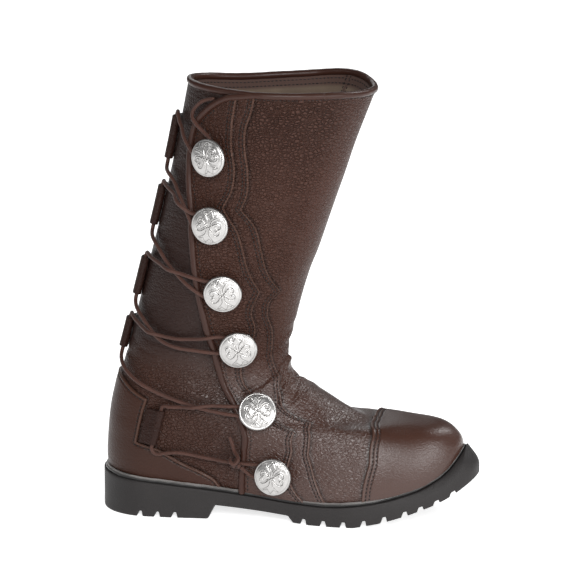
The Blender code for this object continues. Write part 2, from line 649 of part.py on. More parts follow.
def near(level, angle, forward_by, up_by):
    """Level and angle of the place so many millimetres forward of and above another."""
    arc = np.linalg.norm(form(level, angle + 1.0) - form(level, angle - 1.0)) / 2.0
    rise = np.linalg.norm(form(level + 0.1, angle) - form(level - 0.1, angle)) / 0.2
    across = (form(level + 0.1, angle) - form(level - 0.1, angle))[0] / 0.2
    up_levels = up_by / rise
    return level + up_levels, angle + (forward_by - across * up_levels) / arc


def beside(number, forward_by, up_by):
    """Level and angle beside a button's middle."""
    return near(BUTTON_LEVEL[number], BUTTON_ANGLE[number], forward_by, up_by)


def through_tab(number):
    """Cord points through a tunnel from its upper end to its lower one, straight for a little way outside it."""
    levels, angles = tab_ends(number)
    inside = [lifted(level, angle, tunnel_height()) for level, angle in zip(levels[::-1], angles[::-1])]
    axis = inside[0] - inside[-1]
    axis = axis / np.linalg.norm(axis)
    return [inside[0] + axis * LACE_CLEAR, *inside, inside[-1] - axis * LACE_CLEAR]


def lace_run():
    """The cord from its upper end, button to tab and on, to the lowest button and back."""
    plain = ((-18.0, -7.5, 3.0, 9.0), (LACE_ON_BACK, LACE_OVER_ROLL, LACE_OVER_ROLL, LACE_AT_BUTTON))
    high = ((-30.0, -18.0, 3.0, 9.0), (LACE_ON_BACK, LACE_OVER_ROLL, LACE_OVER_ROLL, LACE_AT_BUTTON))
    points = strand((LACE_START, LACE_HANG, beside(0, -2.0, 15.0)), 9, plain)
    points += turn_about(0, 80.0, -110.0, 6)
    for number in range(5):
        levels, angles = tab_ends(number)
        leave = beside(number, -16.0, -1.0 if number == 0 else 7.5)
        arrive = near(levels[-1], angles[-1], *LACE_INTO_TAB)
        points += strand((leave, UP_PASS[number], arrive), 12, plain, CROSSING[number])
        points += through_tab(number)
        heights = high if number == 4 else plain
        enter = beside(number + 1, -14.0, 6.6 if number == 4 else -6.6)
        depart = near(levels[0], angles[0], *LACE_OUT_OF_TAB)
        points += strand((depart, *DOWN_PASS[number], enter), 14, heights)
        turns = (90.0, -90.0) if number == 4 else (-90.0, 90.0)
        points += turn_about(number + 1, *turns, 6)
    points += strand((beside(5, -9.0, -6.6), beside(5, -20.0, -5.5)), 3, plain)
    return points


def knot_run(run):
    """Coil of the cord's end round its upper strand, then the short loose end."""
    level, angle = beside(5, KNOT_BACK, 6.6)
    nearest = int(np.argmin(np.linalg.norm(run - lifted(level, angle, LACE_OVER_ROLL), axis=1)))
    seat = run[nearest]
    ahead = run[nearest + 2] - run[nearest - 2]
    ahead = ahead / np.linalg.norm(ahead)
    side = np.cross(ahead, normal(level, angle))
    side = side / np.linalg.norm(side)
    out = np.cross(side, ahead)
    radius = 2.0 * LACE_RADIUS + GAP
    points = []
    for share in np.linspace(0.0, 1.0, 12):
        turn = 2.0 * math.pi * KNOT_TURNS * share
        points.append(seat - ahead * KNOT_PITCH * KNOT_TURNS * (share - 0.5)
                      + radius * (out * math.cos(turn) + side * math.sin(turn)))
    for rise in (0.45, 0.9, 1.4):
        points.append(lifted(level + rise, angle - 2.0, LACE_ON_BACK))
    return points


def build():
    """Make every piece of the boot."""
    finishes = {
        "leather": material("leather", (0.072, 0.042, 0.032), 0.45),
        "dark_leather": material("dark_leather", (0.045, 0.028, 0.024), 0.42),
        "tab_leather": material("tab_leather", (0.060, 0.038, 0.030), 0.5),
        "rubber": material("rubber", (0.030, 0.029, 0.029), 0.7),
        "welt": material("welt", (0.022, 0.020, 0.020), 0.4),
        "insole": material("insole", (0.20, 0.14, 0.09), 0.8),
        "silver": material("silver", (0.62, 0.60, 0.57), 0.3, 1.0),
        "cord": material("cord", (0.13, 0.050, 0.034), 0.5),
    }
    make_outsole(finishes["rubber"])
    make_welt(finishes["welt"])
    make_insole(finishes["insole"])
    make_upper(finishes["leather"])
    make_toe_cap(finishes["leather"])
    make_counter(finishes["dark_leather"])
    make_wrap(finishes)
    make_collar_binding(finishes["dark_leather"])
    for number in range(len(BUTTON_LEVEL)):
        make_button(number, finishes["silver"])
    for number in range(len(TAB_LOW)):
        make_tab(number, finishes["tab_leather"])
    run = rounded(lace_run())
    cord("lace", thinned(run, LACE_TOLERANCE), LACE_RADIUS, finishes["cord"])
    cord("lace_knot", thinned(rounded(knot_run(run)), LACE_TOLERANCE), LACE_RADIUS, finishes["cord"])


for thing in list(bpy.data.objects):
    bpy.data.objects.remove(thing)
PARTS = collection("parts")
CUTTERS = collection("cutters")
build()
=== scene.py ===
"""Looks of the mid-calf wrap boot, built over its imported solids."""
import math

import bpy
import numpy as np
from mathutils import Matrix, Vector


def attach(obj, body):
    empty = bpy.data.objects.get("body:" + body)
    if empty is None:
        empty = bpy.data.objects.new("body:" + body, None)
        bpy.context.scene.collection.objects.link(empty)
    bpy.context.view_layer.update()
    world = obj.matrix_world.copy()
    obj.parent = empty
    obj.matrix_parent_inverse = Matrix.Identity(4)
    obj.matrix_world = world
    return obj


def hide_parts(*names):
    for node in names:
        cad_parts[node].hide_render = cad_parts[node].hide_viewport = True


# Sizes of the boot are in millimetres and are turned into metres when a mesh is made.
# X runs forward from the sole's back edge, minus Y is the outer side of the foot, Z is up from the floor.
MM = 0.001
ORIGIN_X = 80.0
GAP = 0.35
WALL = 2.4

# Outsole: plan outline, height of its top edge and of its tread along the length.
SOLE_LENGTH = 312.0
SOLE_OUTLINE = dict(back_x=0.0, front_x=SOLE_LENGTH, rear=41.0, middle=38.5, fore=54.5,
                    back_round=0.127, front_round=0.31, swing=8.0)
LIP_LENGTH = 301.6
LIP_OUTLINE = dict(SOLE_OUTLINE, front_x=LIP_LENGTH)
LIP_END = 0.9995
SLOPE_DEPTH = 0.72
SOLE_TOP_X = (0.0, 45.0, 97.0, 130.0, 162.0, 194.0, 221.0, 252.0, 275.0, 290.0, 298.0, LIP_LENGTH)
SOLE_TOP_Z = (33.0, 29.3, 24.3, 20.6, 17.6, 16.8, 18.8, 25.0, 33.0, 43.2, 53.0, 58.6)
TREAD_X = (0.0, 93.0, 98.0, 160.0, 164.0, 178.0, 214.0, 234.0, 246.0, 259.0, 277.0, 288.0, 297.0, 308.0, 312.0)
TREAD_Z = (0.0, 0.0, 12.0, 6.5, 1.0, 0.0, 0.0, 3.6, 6.6, 10.2, 16.2, 20.8, 25.6, 32.4, 35.4)
GROOVE_RUNS = ((36.0, 14.5, 3), (173.0, 16.6, 6), (268.5, 12.5, 3))
GROOVE_WIDTH = 5.0
NOTCH_DEPTH = 4.6
NOTCH_FADE = 0.4
NOTCH_SPAN = (235.0, 290.0)
SOLE_STATIONS = (4.0, 308.0, 0.7)
# Side of the outsole: share of its depth and inset. Welt: inset from the sole's edge and height.
SOLE_WALL = ((0.0, 3.0), (0.0, 1.2), (0.012, 0.5), (0.035, 0.1), (0.08, 0.0), (0.16, 0.0), (0.28, 0.0), (0.42, 0.0),
             (0.56, 0.0), (0.9, 0.0), (0.965, 0.15), (0.99, 0.5), (1.0, 1.2))
WELT_PROFILE = ((1.7, 0.0), (1.3, 0.7), (1.3, 1.8), (1.7, 2.7), (2.5, 3.2), (3.6, 3.3), (4.6, 3.0))

# Upper, one row for each section from the feather edge to the collar.
# rear, middle and fore are half widths, the rounds are shares of the section's length,
# swing turns the front toward the inner side, cling is how far the section follows the sole's top.
UPPER_COLUMNS = ("back_x", "back_z", "front_x", "front_z", "rear", "middle", "fore",
                 "back_round", "front_round", "swing", "cling")
UPPER_ROWS = (
    (5.5, 32.9, 295.6, 43.8, 34.0, 33.0, 48.0, 0.125, 0.285, 8.0, 1.00),
    (4.6, 45.0, 297.0, 53.2, 35.5, 35.5, 50.5, 0.130, 0.285, 8.0, 0.95),
    (5.0, 56.0, 296.6, 60.8, 36.0, 36.5, 50.0, 0.130, 0.28, 8.0, 0.80),
    (5.8, 67.0, 293.0, 67.4, 36.0, 37.0, 46.5, 0.135, 0.275, 7.5, 0.60),
    (6.6, 76.0, 284.0, 73.0, 36.0, 37.5, 42.0, 0.140, 0.27, 7.0, 0.40),
    (7.6, 84.0, 262.0, 77.5, 35.5, 37.5, 38.0, 0.150, 0.26, 6.0, 0.25),
    (9.0, 92.0, 232.0, 80.0, 35.0, 37.5, 35.0, 0.160, 0.26, 5.0, 0.12),
    (10.8, 100.0, 207.0, 87.0, 34.5, 37.5, 33.0, 0.170, 0.28, 4.0, 0.05),
    (13.0, 109.0, 184.0, 99.5, 34.0, 37.0, 31.5, 0.190, 0.30, 3.0, 0.00),
    (16.5, 120.0, 165.0, 111.5, 34.0, 36.5, 31.0, 0.220, 0.33, 2.0, 0.00),
    (20.5, 134.0, 155.3, 122.5, 34.5, 37.0, 32.0, 0.270, 0.37, 1.0, 0.00),
    (25.0, 151.0, 154.5, 138.0, 36.0, 38.5, 34.5, 0.330, 0.40, 0.0, 0.00),
    (31.0, 176.0, 160.5, 162.0, 38.5, 41.0, 38.0, 0.380, 0.42, 0.0, 0.00),
    (38.5, 206.0, 170.0, 196.0, 42.0, 44.0, 42.0, 0.420, 0.44, 0.0, 0.00),
    (51.0, 256.0, 188.0, 252.0, 46.5, 48.5, 47.5, 0.450, 0.45, 0.0, 0.00),
    (62.5, 308.0, 206.7, 306.5, 49.5, 52.0, 51.5, 0.470, 0.45, 2.0, 0.00),
    (73.0, 358.0, 225.0, 356.5, 50.5, 53.5, 54.5, 0.480, 0.42, 6.0, 0.00),
)
TOP_LEVEL = len(UPPER_ROWS) - 1
RIM_ANGLE = (0.0, 30.0, 60.0, 90.0, 130.0, 165.0, 190.0, 225.0, 262.0, 300.0, 335.0, 360.0)
RIM_RISE = (4.4, 3.4, 2.6, 2.4, 2.0, -0.6, -1.2, 3.6, 0.4, -1.6, 1.8, 4.4)
RIM_FROM = 14.9
BODY_SHARES = (0.15, 0.42, 0.70)
SWING_FROM = 0.40
ARCH_SHARE = 0.30
ARCH_REACH = 0.75
# Meshes of the upper and its lining: spans of levels with their counts, columns round, step for directions.
UPPER_SPANS = ((0.0, 5.0, 46), (5.0, 12.0, 118), (12.0, 16.0, 118))
UPPER_SIDES = 324
LINING_SPANS = ((0.0, 12.0, 60), (12.0, 15.97, 70))
LINING_SIDES = 160
LEVEL_STEP = 0.02

# Lines on the outer side, each in runs between its cusps, as (level, angle).
NARROW_LINE = (
    ((0.44, 99.7), (1.32, 95.8), (2.26, 93.8), (3.43, 96.2), (4.33, 98.7), (4.83, 102.4)),
    ((4.83, 102.4), (5.4, 101.3), (6.4, 105.5), (7.6, 111.0), (9.1, 115.5), (10.8, 121.0), (11.82, 125.0),
     (12.36, 118.6), (12.91, 120.2)),
    ((12.91, 120.2), (13.29, 106.9), (13.62, 98.8), (13.85, 92.4), (14.09, 82.7), (14.21, 78.5)),
    ((14.21, 78.5), (14.5, 81.4), (14.8, 79.6), (15.2, 73.2), (15.53, 70.3), (15.9, 69.0)),
)
WIDE_LINE = (
    ((0.44, 106.6), (1.5, 104.0), (2.59, 102.2), (3.63, 102.2), (4.6, 106.8), (5.32, 112.3), (6.06, 121.5)),
    ((6.06, 121.5), (6.76, 120.4), (7.51, 123.4), (8.6, 137.0), (9.59, 149.0), (10.8, 147.0), (11.81, 141.0),
     (12.3, 132.6), (12.63, 131.0), (12.91, 137.2)),
    ((12.91, 137.2), (13.24, 122.2), (13.59, 112.4), (13.92, 103.7), (14.19, 90.7)),
    ((14.19, 90.7), (14.41, 91.8), (14.81, 87.9), (15.16, 82.2), (15.45, 79.6), (15.72, 80.4), (15.96, 80.0)),
)
WRAP_LEVEL = (0.44, 1.3, 2.3, 3.5, 4.4, 4.9, 5.3, 6.05, 6.8, 7.6, 8.1, 8.6, 9.1, 9.6, 10.8, 11.8, 12.3, 12.9,
              13.4, 13.8, 14.2, 14.5, 14.8, 15.2, 15.4, 15.58, 15.71, 15.81, 15.88)
WRAP_EDGE = (79.4, 79.4, 80.0, 81.3, 83.5, 85.1, 87.0, 91.0, 94.6, 98.3, 100.0, 101.5, 102.8, 103.8, 101.0, 90.4,
             84.7, 77.2, 69.0, 62.2, 56.1, 50.6, 46.5, 43.2, 44.0, 49.0, 54.4, 60.0, 65.0)
TOE_LINE = ((0.40, 118.4), (1.81, 119.1), (2.84, 121.7), (4.35, 128.8), (5.3, 141.0), (6.0, 158.1), (6.33, 180.0))
COUNTER_LINE = (
    ((0.40, 71.2), (0.97, 68.9), (1.3, 65.4), (1.8, 57.0), (2.45, 47.5), (2.79, 36.2)),
    ((2.79, 36.2), (4.68, 39.4), (7.14, 47.4)),
    ((7.14, 47.4), (7.7, 38.0), (8.22, 28.1), (8.56, 14.0), (8.66, 0.0)),
)

# Overlays: height of each layer's top, round of a cut edge, stitch rows by their distance from the edge.
WIDE_TOP = 1.5
NARROW_TOP = 2.8
CAP_TOP = 1.9
COUNTER_TOP = 1.9
EDGE_ROUND = 1.2
EDGE_RIDGE = 0.35
EDGE_WORN = 0.9
EDGE_SINK = 0.7
NEAR_EDGE = (0.0, 0.0, 0.08, 0.22, 0.45, 0.75, 1.1, 1.6, 2.0, 2.4, 2.8, 3.3, 4.2, 4.8, 5.2, 5.6, 6.4, 7.4)
PATCH_FOOT = 0.30
STITCH_PITCH = 3.3
STITCH_LENGTH = 2.0
STITCH_WIDTH = 0.95
STITCH_STATIONS = ((-0.5, 0.35), (-0.3, 0.9), (0.0, 1.0), (0.3, 0.9), (0.5, 0.35))
FACING_ROWS = (2.4, 5.2)
CAP_ROWS = (3.4, 6.4)
COUNTER_ROW = 3.0
GROOVE_OF_STITCHES = 0.55
GROOVE_REACH = 0.7
SEAM_REACH = 1.5
STITCH_SINK = 0.3
LINE_STEP = 0.8
STRIP_EDGE = (15.78, 15.79)
RIM_ROW = 15.925
STRIP_ROWS = (15.89, 15.81)
LINING_DEPTH = WALL + 0.7
LINING_SEAM = 227.25
LINING_ROWS = (225.4, 229.1)
TOE_CENTRE = (1.2, 180.0)
HEEL_CENTRE = (1.0, 0.0)

# Marks for the finishes: shares, and the spans of level or angle over which they rise or fade.
GLOSS_LEAST = 0.12
GLOSS_FADE = (8.0, 11.5)
GLOSS_SIDE = (60.0, 105.0)
TOP_DULL = 0.6
TOP_RISE = (3.0, 4.4)
FLEX_SIDE = (84.0, 112.0)
FLEX_RISE = (5.6, 8.2)
FLEX_FADE = (10.9, 12.2)
GRAIN_FOOT = 0.36
GRAIN_MORE = 0.84
GRAIN_RISE = (9.0, 12.0)
GRAIN_COLLAR = 0.9
COLLAR_RISE = (14.2, 15.7)
REAR_LEAST = 0.15
REAR_RISE = (8.8, 11.4)
REAR_INNER = (300.0, 330.0)
REAR_CALM = 0.72
SHIN_RISE = (11.0, 12.0)
SHIN_SIDE = (128.0, 150.0)
SHIN_CALM = 0.55
QUARTER_FADE = (9.0, 11.0)
QUARTER_GRAIN = 0.95

# Rolled edges: radius and place on the wrap and on the collar, angles over which the first runs out into the second.
ROLL_RADIUS = 2.7
ROLL_SETBACK = 2.6
ROLL_HEIGHT = 3.2
COLLAR_RADIUS = 2.9
COLLAR_DROP = 0.5
COLLAR_PROUD = 1.8
ROLL_JOINT = (80.0, 122.0)

# Creases: path over the upper, height, width, and whether the inner side has one as well.
CREASES = (
    (((10.78, 182.0), (10.4, 168.0), (9.97, 153.5), (9.29, 134.5), (8.77, 121.0), (8.30, 108.0)), -1.5, 1.4, True),
    (((10.5, 182.0), (10.1, 168.0), (9.68, 153.5), (9.0, 134.5), (8.48, 121.0), (8.0, 108.0)), 1.5, 3.6, True),
    (((10.06, 163.6), (9.2, 150.1), (8.44, 134.1), (7.77, 124.3)), -1.7, 2.0, True),
    (((9.4, 180.0), (8.96, 165.0), (8.61, 152.1), (7.9, 134.9)), -1.2, 2.6, True),
    (((8.9, 180.0), (8.5, 168.0), (8.05, 152.0)), 0.9, 3.5, True),
    (((11.35, 180.0), (11.1, 163.0), (11.0, 148.0), (10.6, 134.0)), -0.9, 2.6, True),
    (((11.9, 180.0), (11.75, 166.0), (11.6, 152.0)), -0.6, 3.0, True),
    (((10.9, 140.0), (10.3, 128.0), (9.6, 119.0)), -0.7, 2.0, False),
    (((10.95, 40.0), (10.85, 64.7), (10.7, 86.0)), -0.5, 1.8, False),
    (((10.45, 38.0), (10.2, 60.0), (9.9, 84.0)), -0.6, 2.0, False),
    (((9.7, 46.0), (9.4, 64.0), (8.9, 84.0)), -0.6, 1.8, False),
    (((8.9, 56.0), (8.5, 70.0), (8.0, 88.0)), -0.5, 1.8, False),
    (((9.9, -30.0), (10.0, 0.0), (9.9, 30.0)), -0.5, 2.4, False),
    (((10.7, -35.0), (10.8, 0.0), (10.7, 28.0)), -0.4, 2.6, False),
    (((13.5, 150.0), (14.6, 155.0)), 1.2, 22.0, True),
    (((12.4, 160.0), (13.2, 168.0)), -0.9, 14.0, True),
    (((15.2, 120.0), (14.2, 118.0)), -0.8, 18.0, True),
    (((4.6, 110.0), (5.2, 132.0)), 0.7, 10.0, True),
    (((6.5, 150.0), (6.3, 180.0), (6.5, 210.0)), -3.0, 15.0, False),
    (((4.1, 158.0), (4.3, 180.0), (4.1, 202.0)), 1.8, 12.0, False),
    (((15.93, 92.0), (15.58, 99.5)), 0.5, 1.2, False),
    (((15.94, 95.5), (15.55, 103.0)), 0.5, 1.2, False),
    (((15.94, 99.0), (15.62, 105.5)), 0.45, 1.2, False),
    (((15.93, 103.0), (15.70, 108.5)), 0.4, 1.2, False),
    (((13.60, 15.0), (13.46, 24.0), (13.47, 42.6), (13.39, 64.0)), -0.6, 0.9, False),
    (((13.66, 15.0), (13.52, 24.0), (13.53, 42.6), (13.45, 63.0)), 0.5, 1.2, False),
)

# Domed buttons: level and angle of each, turn of its ornament, then the turned profile.
BUTTON_LEVEL = (14.98, 13.95, 12.88, 11.26, 6.76, 2.10)
BUTTON_ANGLE = (62.4, 74.4, 93.7, 114.1, 102.2, 89.6)
BUTTON_TURN = (28.0, -14.0, 12.0, 10.0, 8.0, -6.0)
BUTTON_RADIUS = 15.6
BUTTON_FOOT = 3.7
BUTTON_UNDER = 9.2
BUTTON_RIM = 1.3
BUTTON_DOME = 4.4
BUTTON_FIELD = 0.88
BUTTON_SPANS = ((0.0, BUTTON_FIELD, 58), (BUTTON_FIELD, 1.0, 14))
BUTTON_BACK = ((1.0, BUTTON_UNDER + 0.7), (0.985, BUTTON_UNDER + 0.15), (0.93, BUTTON_UNDER),
               (0.3, BUTTON_UNDER), (0.28, BUTTON_FOOT))
SCROLLS = (
    ((0.0, 0.0), (0.15, 0.11), (0.30, 0.26), (0.46, 0.34), (0.61, 0.27), (0.63, 0.12), (0.52, 0.04), (0.43, 0.12)),
    ((0.06, 0.17), (0.10, 0.38), (0.24, 0.54), (0.43, 0.69)),
    ((0.43, 0.69), (0.30, 0.70), (0.17, 0.61)),
    ((0.17, 0.61), (0.10, 0.73), (0.0, 0.86)),
)
SCROLL_WIDTH = 0.017
STUDS = ((0.0, 0.0), (0.15, 0.09), (0.15, -0.09), (-0.15, 0.09), (-0.15, -0.09))
STUD_RADIUS = 0.055

# Lace tabs: strip and its gap, levels of the two ends, angle of the tunnel at each end, reach round the shaft.
TAB_LEATHER = 1.3
TAB_GAP = 0.5
TAB_LOW = (14.75, 13.69, 12.19, 10.05, 2.86)
TAB_HIGH = (15.40, 14.31, 13.14, 11.37, 6.20)
TAB_ANGLE_LOW = (6.0, 8.0, 11.0, 6.0, 44.6)
TAB_ANGLE_HIGH = (6.0, 8.0, 11.0, 6.0, 54.4)
TAB_STEPS = (2, 2, 2, 3, 5)
TAB_REACH = (15.0, 15.0, 15.0, 15.0, 12.0)
TUNNEL_RADIUS = 2.85

# Cord: its radius, its heights off the upper, and the room that it keeps.
LACE_RADIUS = 1.6
LACE_ON_BACK = 4.1
LACE_OVER_ROLL = 6.6
LACE_AT_BUTTON = 5.4
LACE_CLEAR = 4.0
# Height of the cord at these distances from the wrap's edge, on the shaft and at the lowest tab.
LACE_HEIGHTS = (LACE_ON_BACK, LACE_OVER_ROLL, LACE_OVER_ROLL, LACE_AT_BUTTON)
NEAR_ROLL = (-18.0, -7.5, 3.0, 9.0)
NEAR_LOW_ROLL = (-30.0, -18.0, 3.0, 9.0)
# Where it meets and leaves a button or a tab, as millimetres forward and up from its middle or end.
LACE_FIRST = (-2.0, 15.0)
LACE_LEAVE_FIRST = (-16.0, -1.0)
LACE_LEAVE = (-16.0, 7.5)
LACE_ENTER = (-14.0, 6.6)
LACE_LAST = ((-9.0, -6.6), (-19.0, -3.5), (-29.0, 2.6))
LACE_START = (15.78, 43.7)
LACE_HANG = (15.62, 38.2)
LACE_TUCK = ((15.86, 52.5, 1.9), (15.83, 48.0, 3.0))
LACE_INTO_TAB = (7.0, 4.6)
LACE_OUT_OF_TAB = (3.0, -7.6)
LACE_TURN = 6.6
TUBE_END = 0.6
# Level and angle that each strand passes: from a button back to its tab, then from the tab to the next button.
# The strand back to the tab steps over the other one at this distance from the wrap's edge.
UP_PASS = ((15.24, 33.0), (14.28, 40.8), (13.14, 55.0), (11.28, 68.0), (7.22, 80.0))
DOWN_PASS = (((14.50, 31.0), (14.26, 46.3)), ((13.46, 28.2), (13.13, 54.0)), ((11.68, 33.0), (11.04, 61.0)),
             ((8.94, 32.0), (7.60, 63.0)), ((2.51, 55.1), (2.45, 66.0)))
CROSSING = (None, -8.2, -23.0, -53.7, -35.5)
STEP_OVER = 5.4
STEP_LENGTH = 9.0
KNOT_STEP = 0.8
KNOT_TURNS = 1.6
KNOT_PITCH = 3.8
KNOT_BACK = -33.0
KNOT_ACROSS = ((-4.6, -3.0, 5.6), (-0.6, -0.4, 7.0), (2.6, -4.4, 4.6))
LOOSE_END = (0.7, 1.1, 1.6)

# Colours, light and camera. From here on lengths are in metres.
LEATHER_TONE = (0.037, 0.0146, 0.0090)
# Back of the shaft, tabs and counter: a darker brown that paints the shade on the side turned away from the lamps.
REAR_SHADE_TONE = (0.0185, 0.0076, 0.0056)
EDGE_TONE = (0.031, 0.0126, 0.0086)
WORN_TONE = (0.125, 0.070, 0.052)
THREAD_TONE = (0.0085, 0.0050, 0.0042)
CORD_TONE = (0.050, 0.0182, 0.0116)
RUBBER_TONE = (0.0174, 0.0152, 0.0150)
WELT_TONE = (0.010, 0.0094, 0.0092)
# Welt: rows along its top painted pale grey as a painted highlight.
WELT_GLINT_ROWS = (0.0, 0.0, 0.05, 0.4, 0.9, 0.9, 0.5, 0.1)
WELT_GLINT_TONE = (0.330, 0.315, 0.305)
SILVER_TONES = ((0.40, 0.39, 0.38), (0.60, 0.59, 0.58))
TARNISH_TONE = (0.13, 0.124, 0.118)
SUEDE_TONES = ((0.075, 0.050, 0.035), (0.165, 0.118, 0.082))
STRIP_TONE = (0.062, 0.031, 0.023)
# Leather: waves to the metre of each pattern, and how the patterns are drawn out.
WAVES = dict(pebbles=285.0, warp=190.0, fine=1500.0, broad=24.0, warm=9.0, patch=48.0, wrinkle=420.0, flex=330.0)
WARP_REACH = 0.0024
PEBBLE_SHAPE = (1.0, 1.0, 1.55)
WRINKLE_SHAPE = (0.22, 0.22, 1.0)
FLEX_SHAPE = (1.0, 3.0, 5.0)
PEBBLE_DEPTH = 0.0008
FLEX_LEAN = math.radians(39.0)
POLISH = 0.9
WORLD_LIGHT = 0.15
FLOOR_GLOW = 0.74
FLOOR_REACH = 7.0
LIGHTS = (
    ("front", (0.48, -2.30, 1.40), (0.9, 1.0), 45.0),
    ("low right", (1.98, -1.38, 0.69), (1.7, 0.3), 28.0),
    ("left", (-2.0, -1.3, 1.7), (0.7, 0.7), 5.5),
    ("instep", (1.42, 1.12, 1.76), (0.6, 0.6), 19.0),
    ("back", (-0.7, 2.3, 1.5), (1.2, 1.2), 9.0),
)
CAMERA_PLACE = (0.5481, -3.3630, 1.0332)
CAMERA_TARGET = (0.0755, 0.0, 0.1865)
CAMERA_LENS = 264.9


def smooth(knots, values, at):
    """Read a smooth curve through a table at the given places."""
    knots = np.asarray(knots, float)
    values = np.asarray(values, float)
    slopes = np.gradient(values, knots)
    at = np.clip(np.asarray(at, float), knots[0], knots[-1])
    cell = np.clip(np.searchsorted(knots, at, side="right") - 1, 0, len(knots) - 2)
    span = knots[cell + 1] - knots[cell]
    share = (at - knots[cell]) / span
    rest = 1.0 - share
    start = values[cell] * (1.0 + 2.0 * share) + slopes[cell] * span * share
    end = values[cell + 1] * (1.0 + 2.0 * rest) - slopes[cell + 1] * span * rest
    return start * rest * rest + end * share * share


def ease(value, low, high):
    """Rise smoothly from 0 at low to 1 at high."""
    share = np.clip((value - low) / (high - low), 0.0, 1.0)
    return share * share * (3.0 - 2.0 * share)


def paired(level, angle):
    """Levels and angles as arrays of one shape."""
    return np.broadcast_arrays(np.asarray(level, float), np.asarray(angle, float))


def unit(vectors):
    """Vectors brought to length one."""
    return vectors / np.linalg.norm(vectors, axis=-1, keepdims=True)


def steps_of(points):
    """Length of each step along a run of points."""
    return np.linalg.norm(np.diff(points, axis=0), axis=1)


def run_length(steps):
    """Length of a run up to each of its points."""
    return np.concatenate([[0.0], np.cumsum(steps)])


def read_run(at, length, points):
    """Points of a run at the given lengths."""
    return np.stack([np.interp(at, length, points[:, axis]) for axis in range(3)], -1)


def spread(spans):
    """Rising numbers over spans that meet, each with its own count."""
    return np.unique(np.concatenate([np.linspace(*span) for span in spans]))


def bell(distance, width):
    """Soft hump, 1 at its middle."""
    return np.exp(-(distance / width) ** 2)


def from_back(angle):
    """Degrees from the back, the same on both sides."""
    return 180.0 - np.abs(angle - 180.0)


def sole_top(x):
    """Height of the outsole's top edge."""
    return smooth(SOLE_TOP_X, SOLE_TOP_Z, x)


def half_width(row, share):
    """Half width of a section at a share of its length, closed by a round at each end."""
    low, mid, high = BODY_SHARES
    slope = (row["fore"] - row["rear"]) / (high - low)
    first = np.clip((share - low) / (mid - low), 0.0, 1.0)
    second = np.clip((share - mid) / (high - mid), 0.0, 1.0)
    back_part = row["rear"] + (row["middle"] - row["rear"]) * ease(share, low, mid)
    back_part = back_part + slope * (mid - low) * first * first * (first - 1.0)
    fore_part = row["middle"] + (row["fore"] - row["middle"]) * ease(share, mid, high)
    fore_part = fore_part + slope * (high - mid) * second * (1.0 - second) ** 2
    body = np.where(share < mid, back_part, fore_part)
    back = np.clip((row["back_round"] - share) / row["back_round"], 0.0, 1.0)
    front = np.clip((share - 1.0 + row["front_round"]) / row["front_round"], 0.0, 1.0)
    return body * np.sqrt(1.0 - back ** 2) * np.sqrt(1.0 - front ** 2)


def plan(row, angle):
    """Plan of a section: the angle runs from the back over the outer side to the toe and round."""
    turn = np.radians(angle)
    share = (1.0 - np.cos(turn)) / 2.0
    x = row["back_x"] + (row["front_x"] - row["back_x"]) * share
    middle = ease(share, SWING_FROM, 1.0) - ARCH_SHARE * np.sin(np.pi * np.clip(share / ARCH_REACH, 0.0, 1.0)) ** 2
    y = row["swing"] * middle - np.sign(np.sin(turn)) * half_width(row, share)
    return x, y, share


def upper_row(level):
    """Section values of the upper between the rows of its table."""
    levels = np.arange(len(UPPER_ROWS))
    table = np.array(UPPER_ROWS)
    return {name: smooth(levels, table[:, place], level) for place, name in enumerate(UPPER_COLUMNS)}


def form(level, angle):
    """Point on the outside of the upper."""
    level, angle = paired(level, angle)
    row = upper_row(level)
    x, y, share = plan(row, angle)
    straight = row["back_z"] + (row["front_z"] - row["back_z"]) * share
    back_top = sole_top(row["back_x"])
    chord = back_top + (sole_top(row["front_x"]) - back_top) * share
    z = straight + row["cling"] * (sole_top(x) - chord)
    z = z + smooth(RIM_ANGLE, RIM_RISE, angle % 360.0) * ease(level, RIM_FROM, TOP_LEVEL)
    return np.stack([x, y, z], -1)


def around(level, angle, reach=0.5):
    """Step round the upper for one degree, measured over a reach to both sides."""
    return (form(level, angle + reach) - form(level, angle - reach)) / (2.0 * reach)


def arc(level, angle, reach=0.5):
    """Millimetres round the upper for each degree."""
    return np.linalg.norm(around(level, angle, reach), axis=-1)


def normal(level, angle):
    """Outward direction of the upper's outside."""
    level, angle = paired(level, angle)
    up = form(np.minimum(level + LEVEL_STEP, TOP_LEVEL), angle) - form(np.maximum(level - LEVEL_STEP, 0.0), angle)
    return unit(np.cross(around(level, angle), up))


def lifted(level, angle, height):
    """Point a given height off the upper's outside."""
    return form(level, angle) + normal(level, angle) * np.asarray(height, float)[..., None]


def wrap_edge(level):
    """Angle of the wrap's edge."""
    return smooth(WRAP_LEVEL, WRAP_EDGE, level)


def button_frame(number):
    """Seat of a button on the upper, with its forward, upward and outward directions."""
    level = BUTTON_LEVEL[number]
    angle = BUTTON_ANGLE[number]
    out = normal(level, angle)
    upward = unit(np.array([0.0, 0.0, 1.0]) - out * out[2])
    return form(level, angle), np.cross(upward, out), upward, out


def tab_ends(number, count=None):
    """Levels and tunnel angles along one lace tab, in a straight line where its ends lie at different angles."""
    count = count or TAB_STEPS[number] + 1
    levels = np.linspace(TAB_LOW[number], TAB_HIGH[number], count)
    angles = np.linspace(TAB_ANGLE_LOW[number], TAB_ANGLE_HIGH[number], count)
    if TAB_ANGLE_LOW[number] == TAB_ANGLE_HIGH[number]:
        return levels, angles
    low, high = form(levels[[0, -1]], angles[[0, -1]])
    for _ in range(4):
        spot = form(levels, angles)
        wanted = low[0] + (high[0] - low[0]) * (spot[:, 2] - low[2]) / (high[2] - low[2])
        angles = angles + (wanted - spot[:, 0]) / around(levels, angles)[:, 0]
    return levels, angles


def tunnel_height():
    """Height of a tunnel's middle off the upper."""
    return TAB_GAP + TAB_LEATHER / 2.0 + TUNNEL_RADIUS


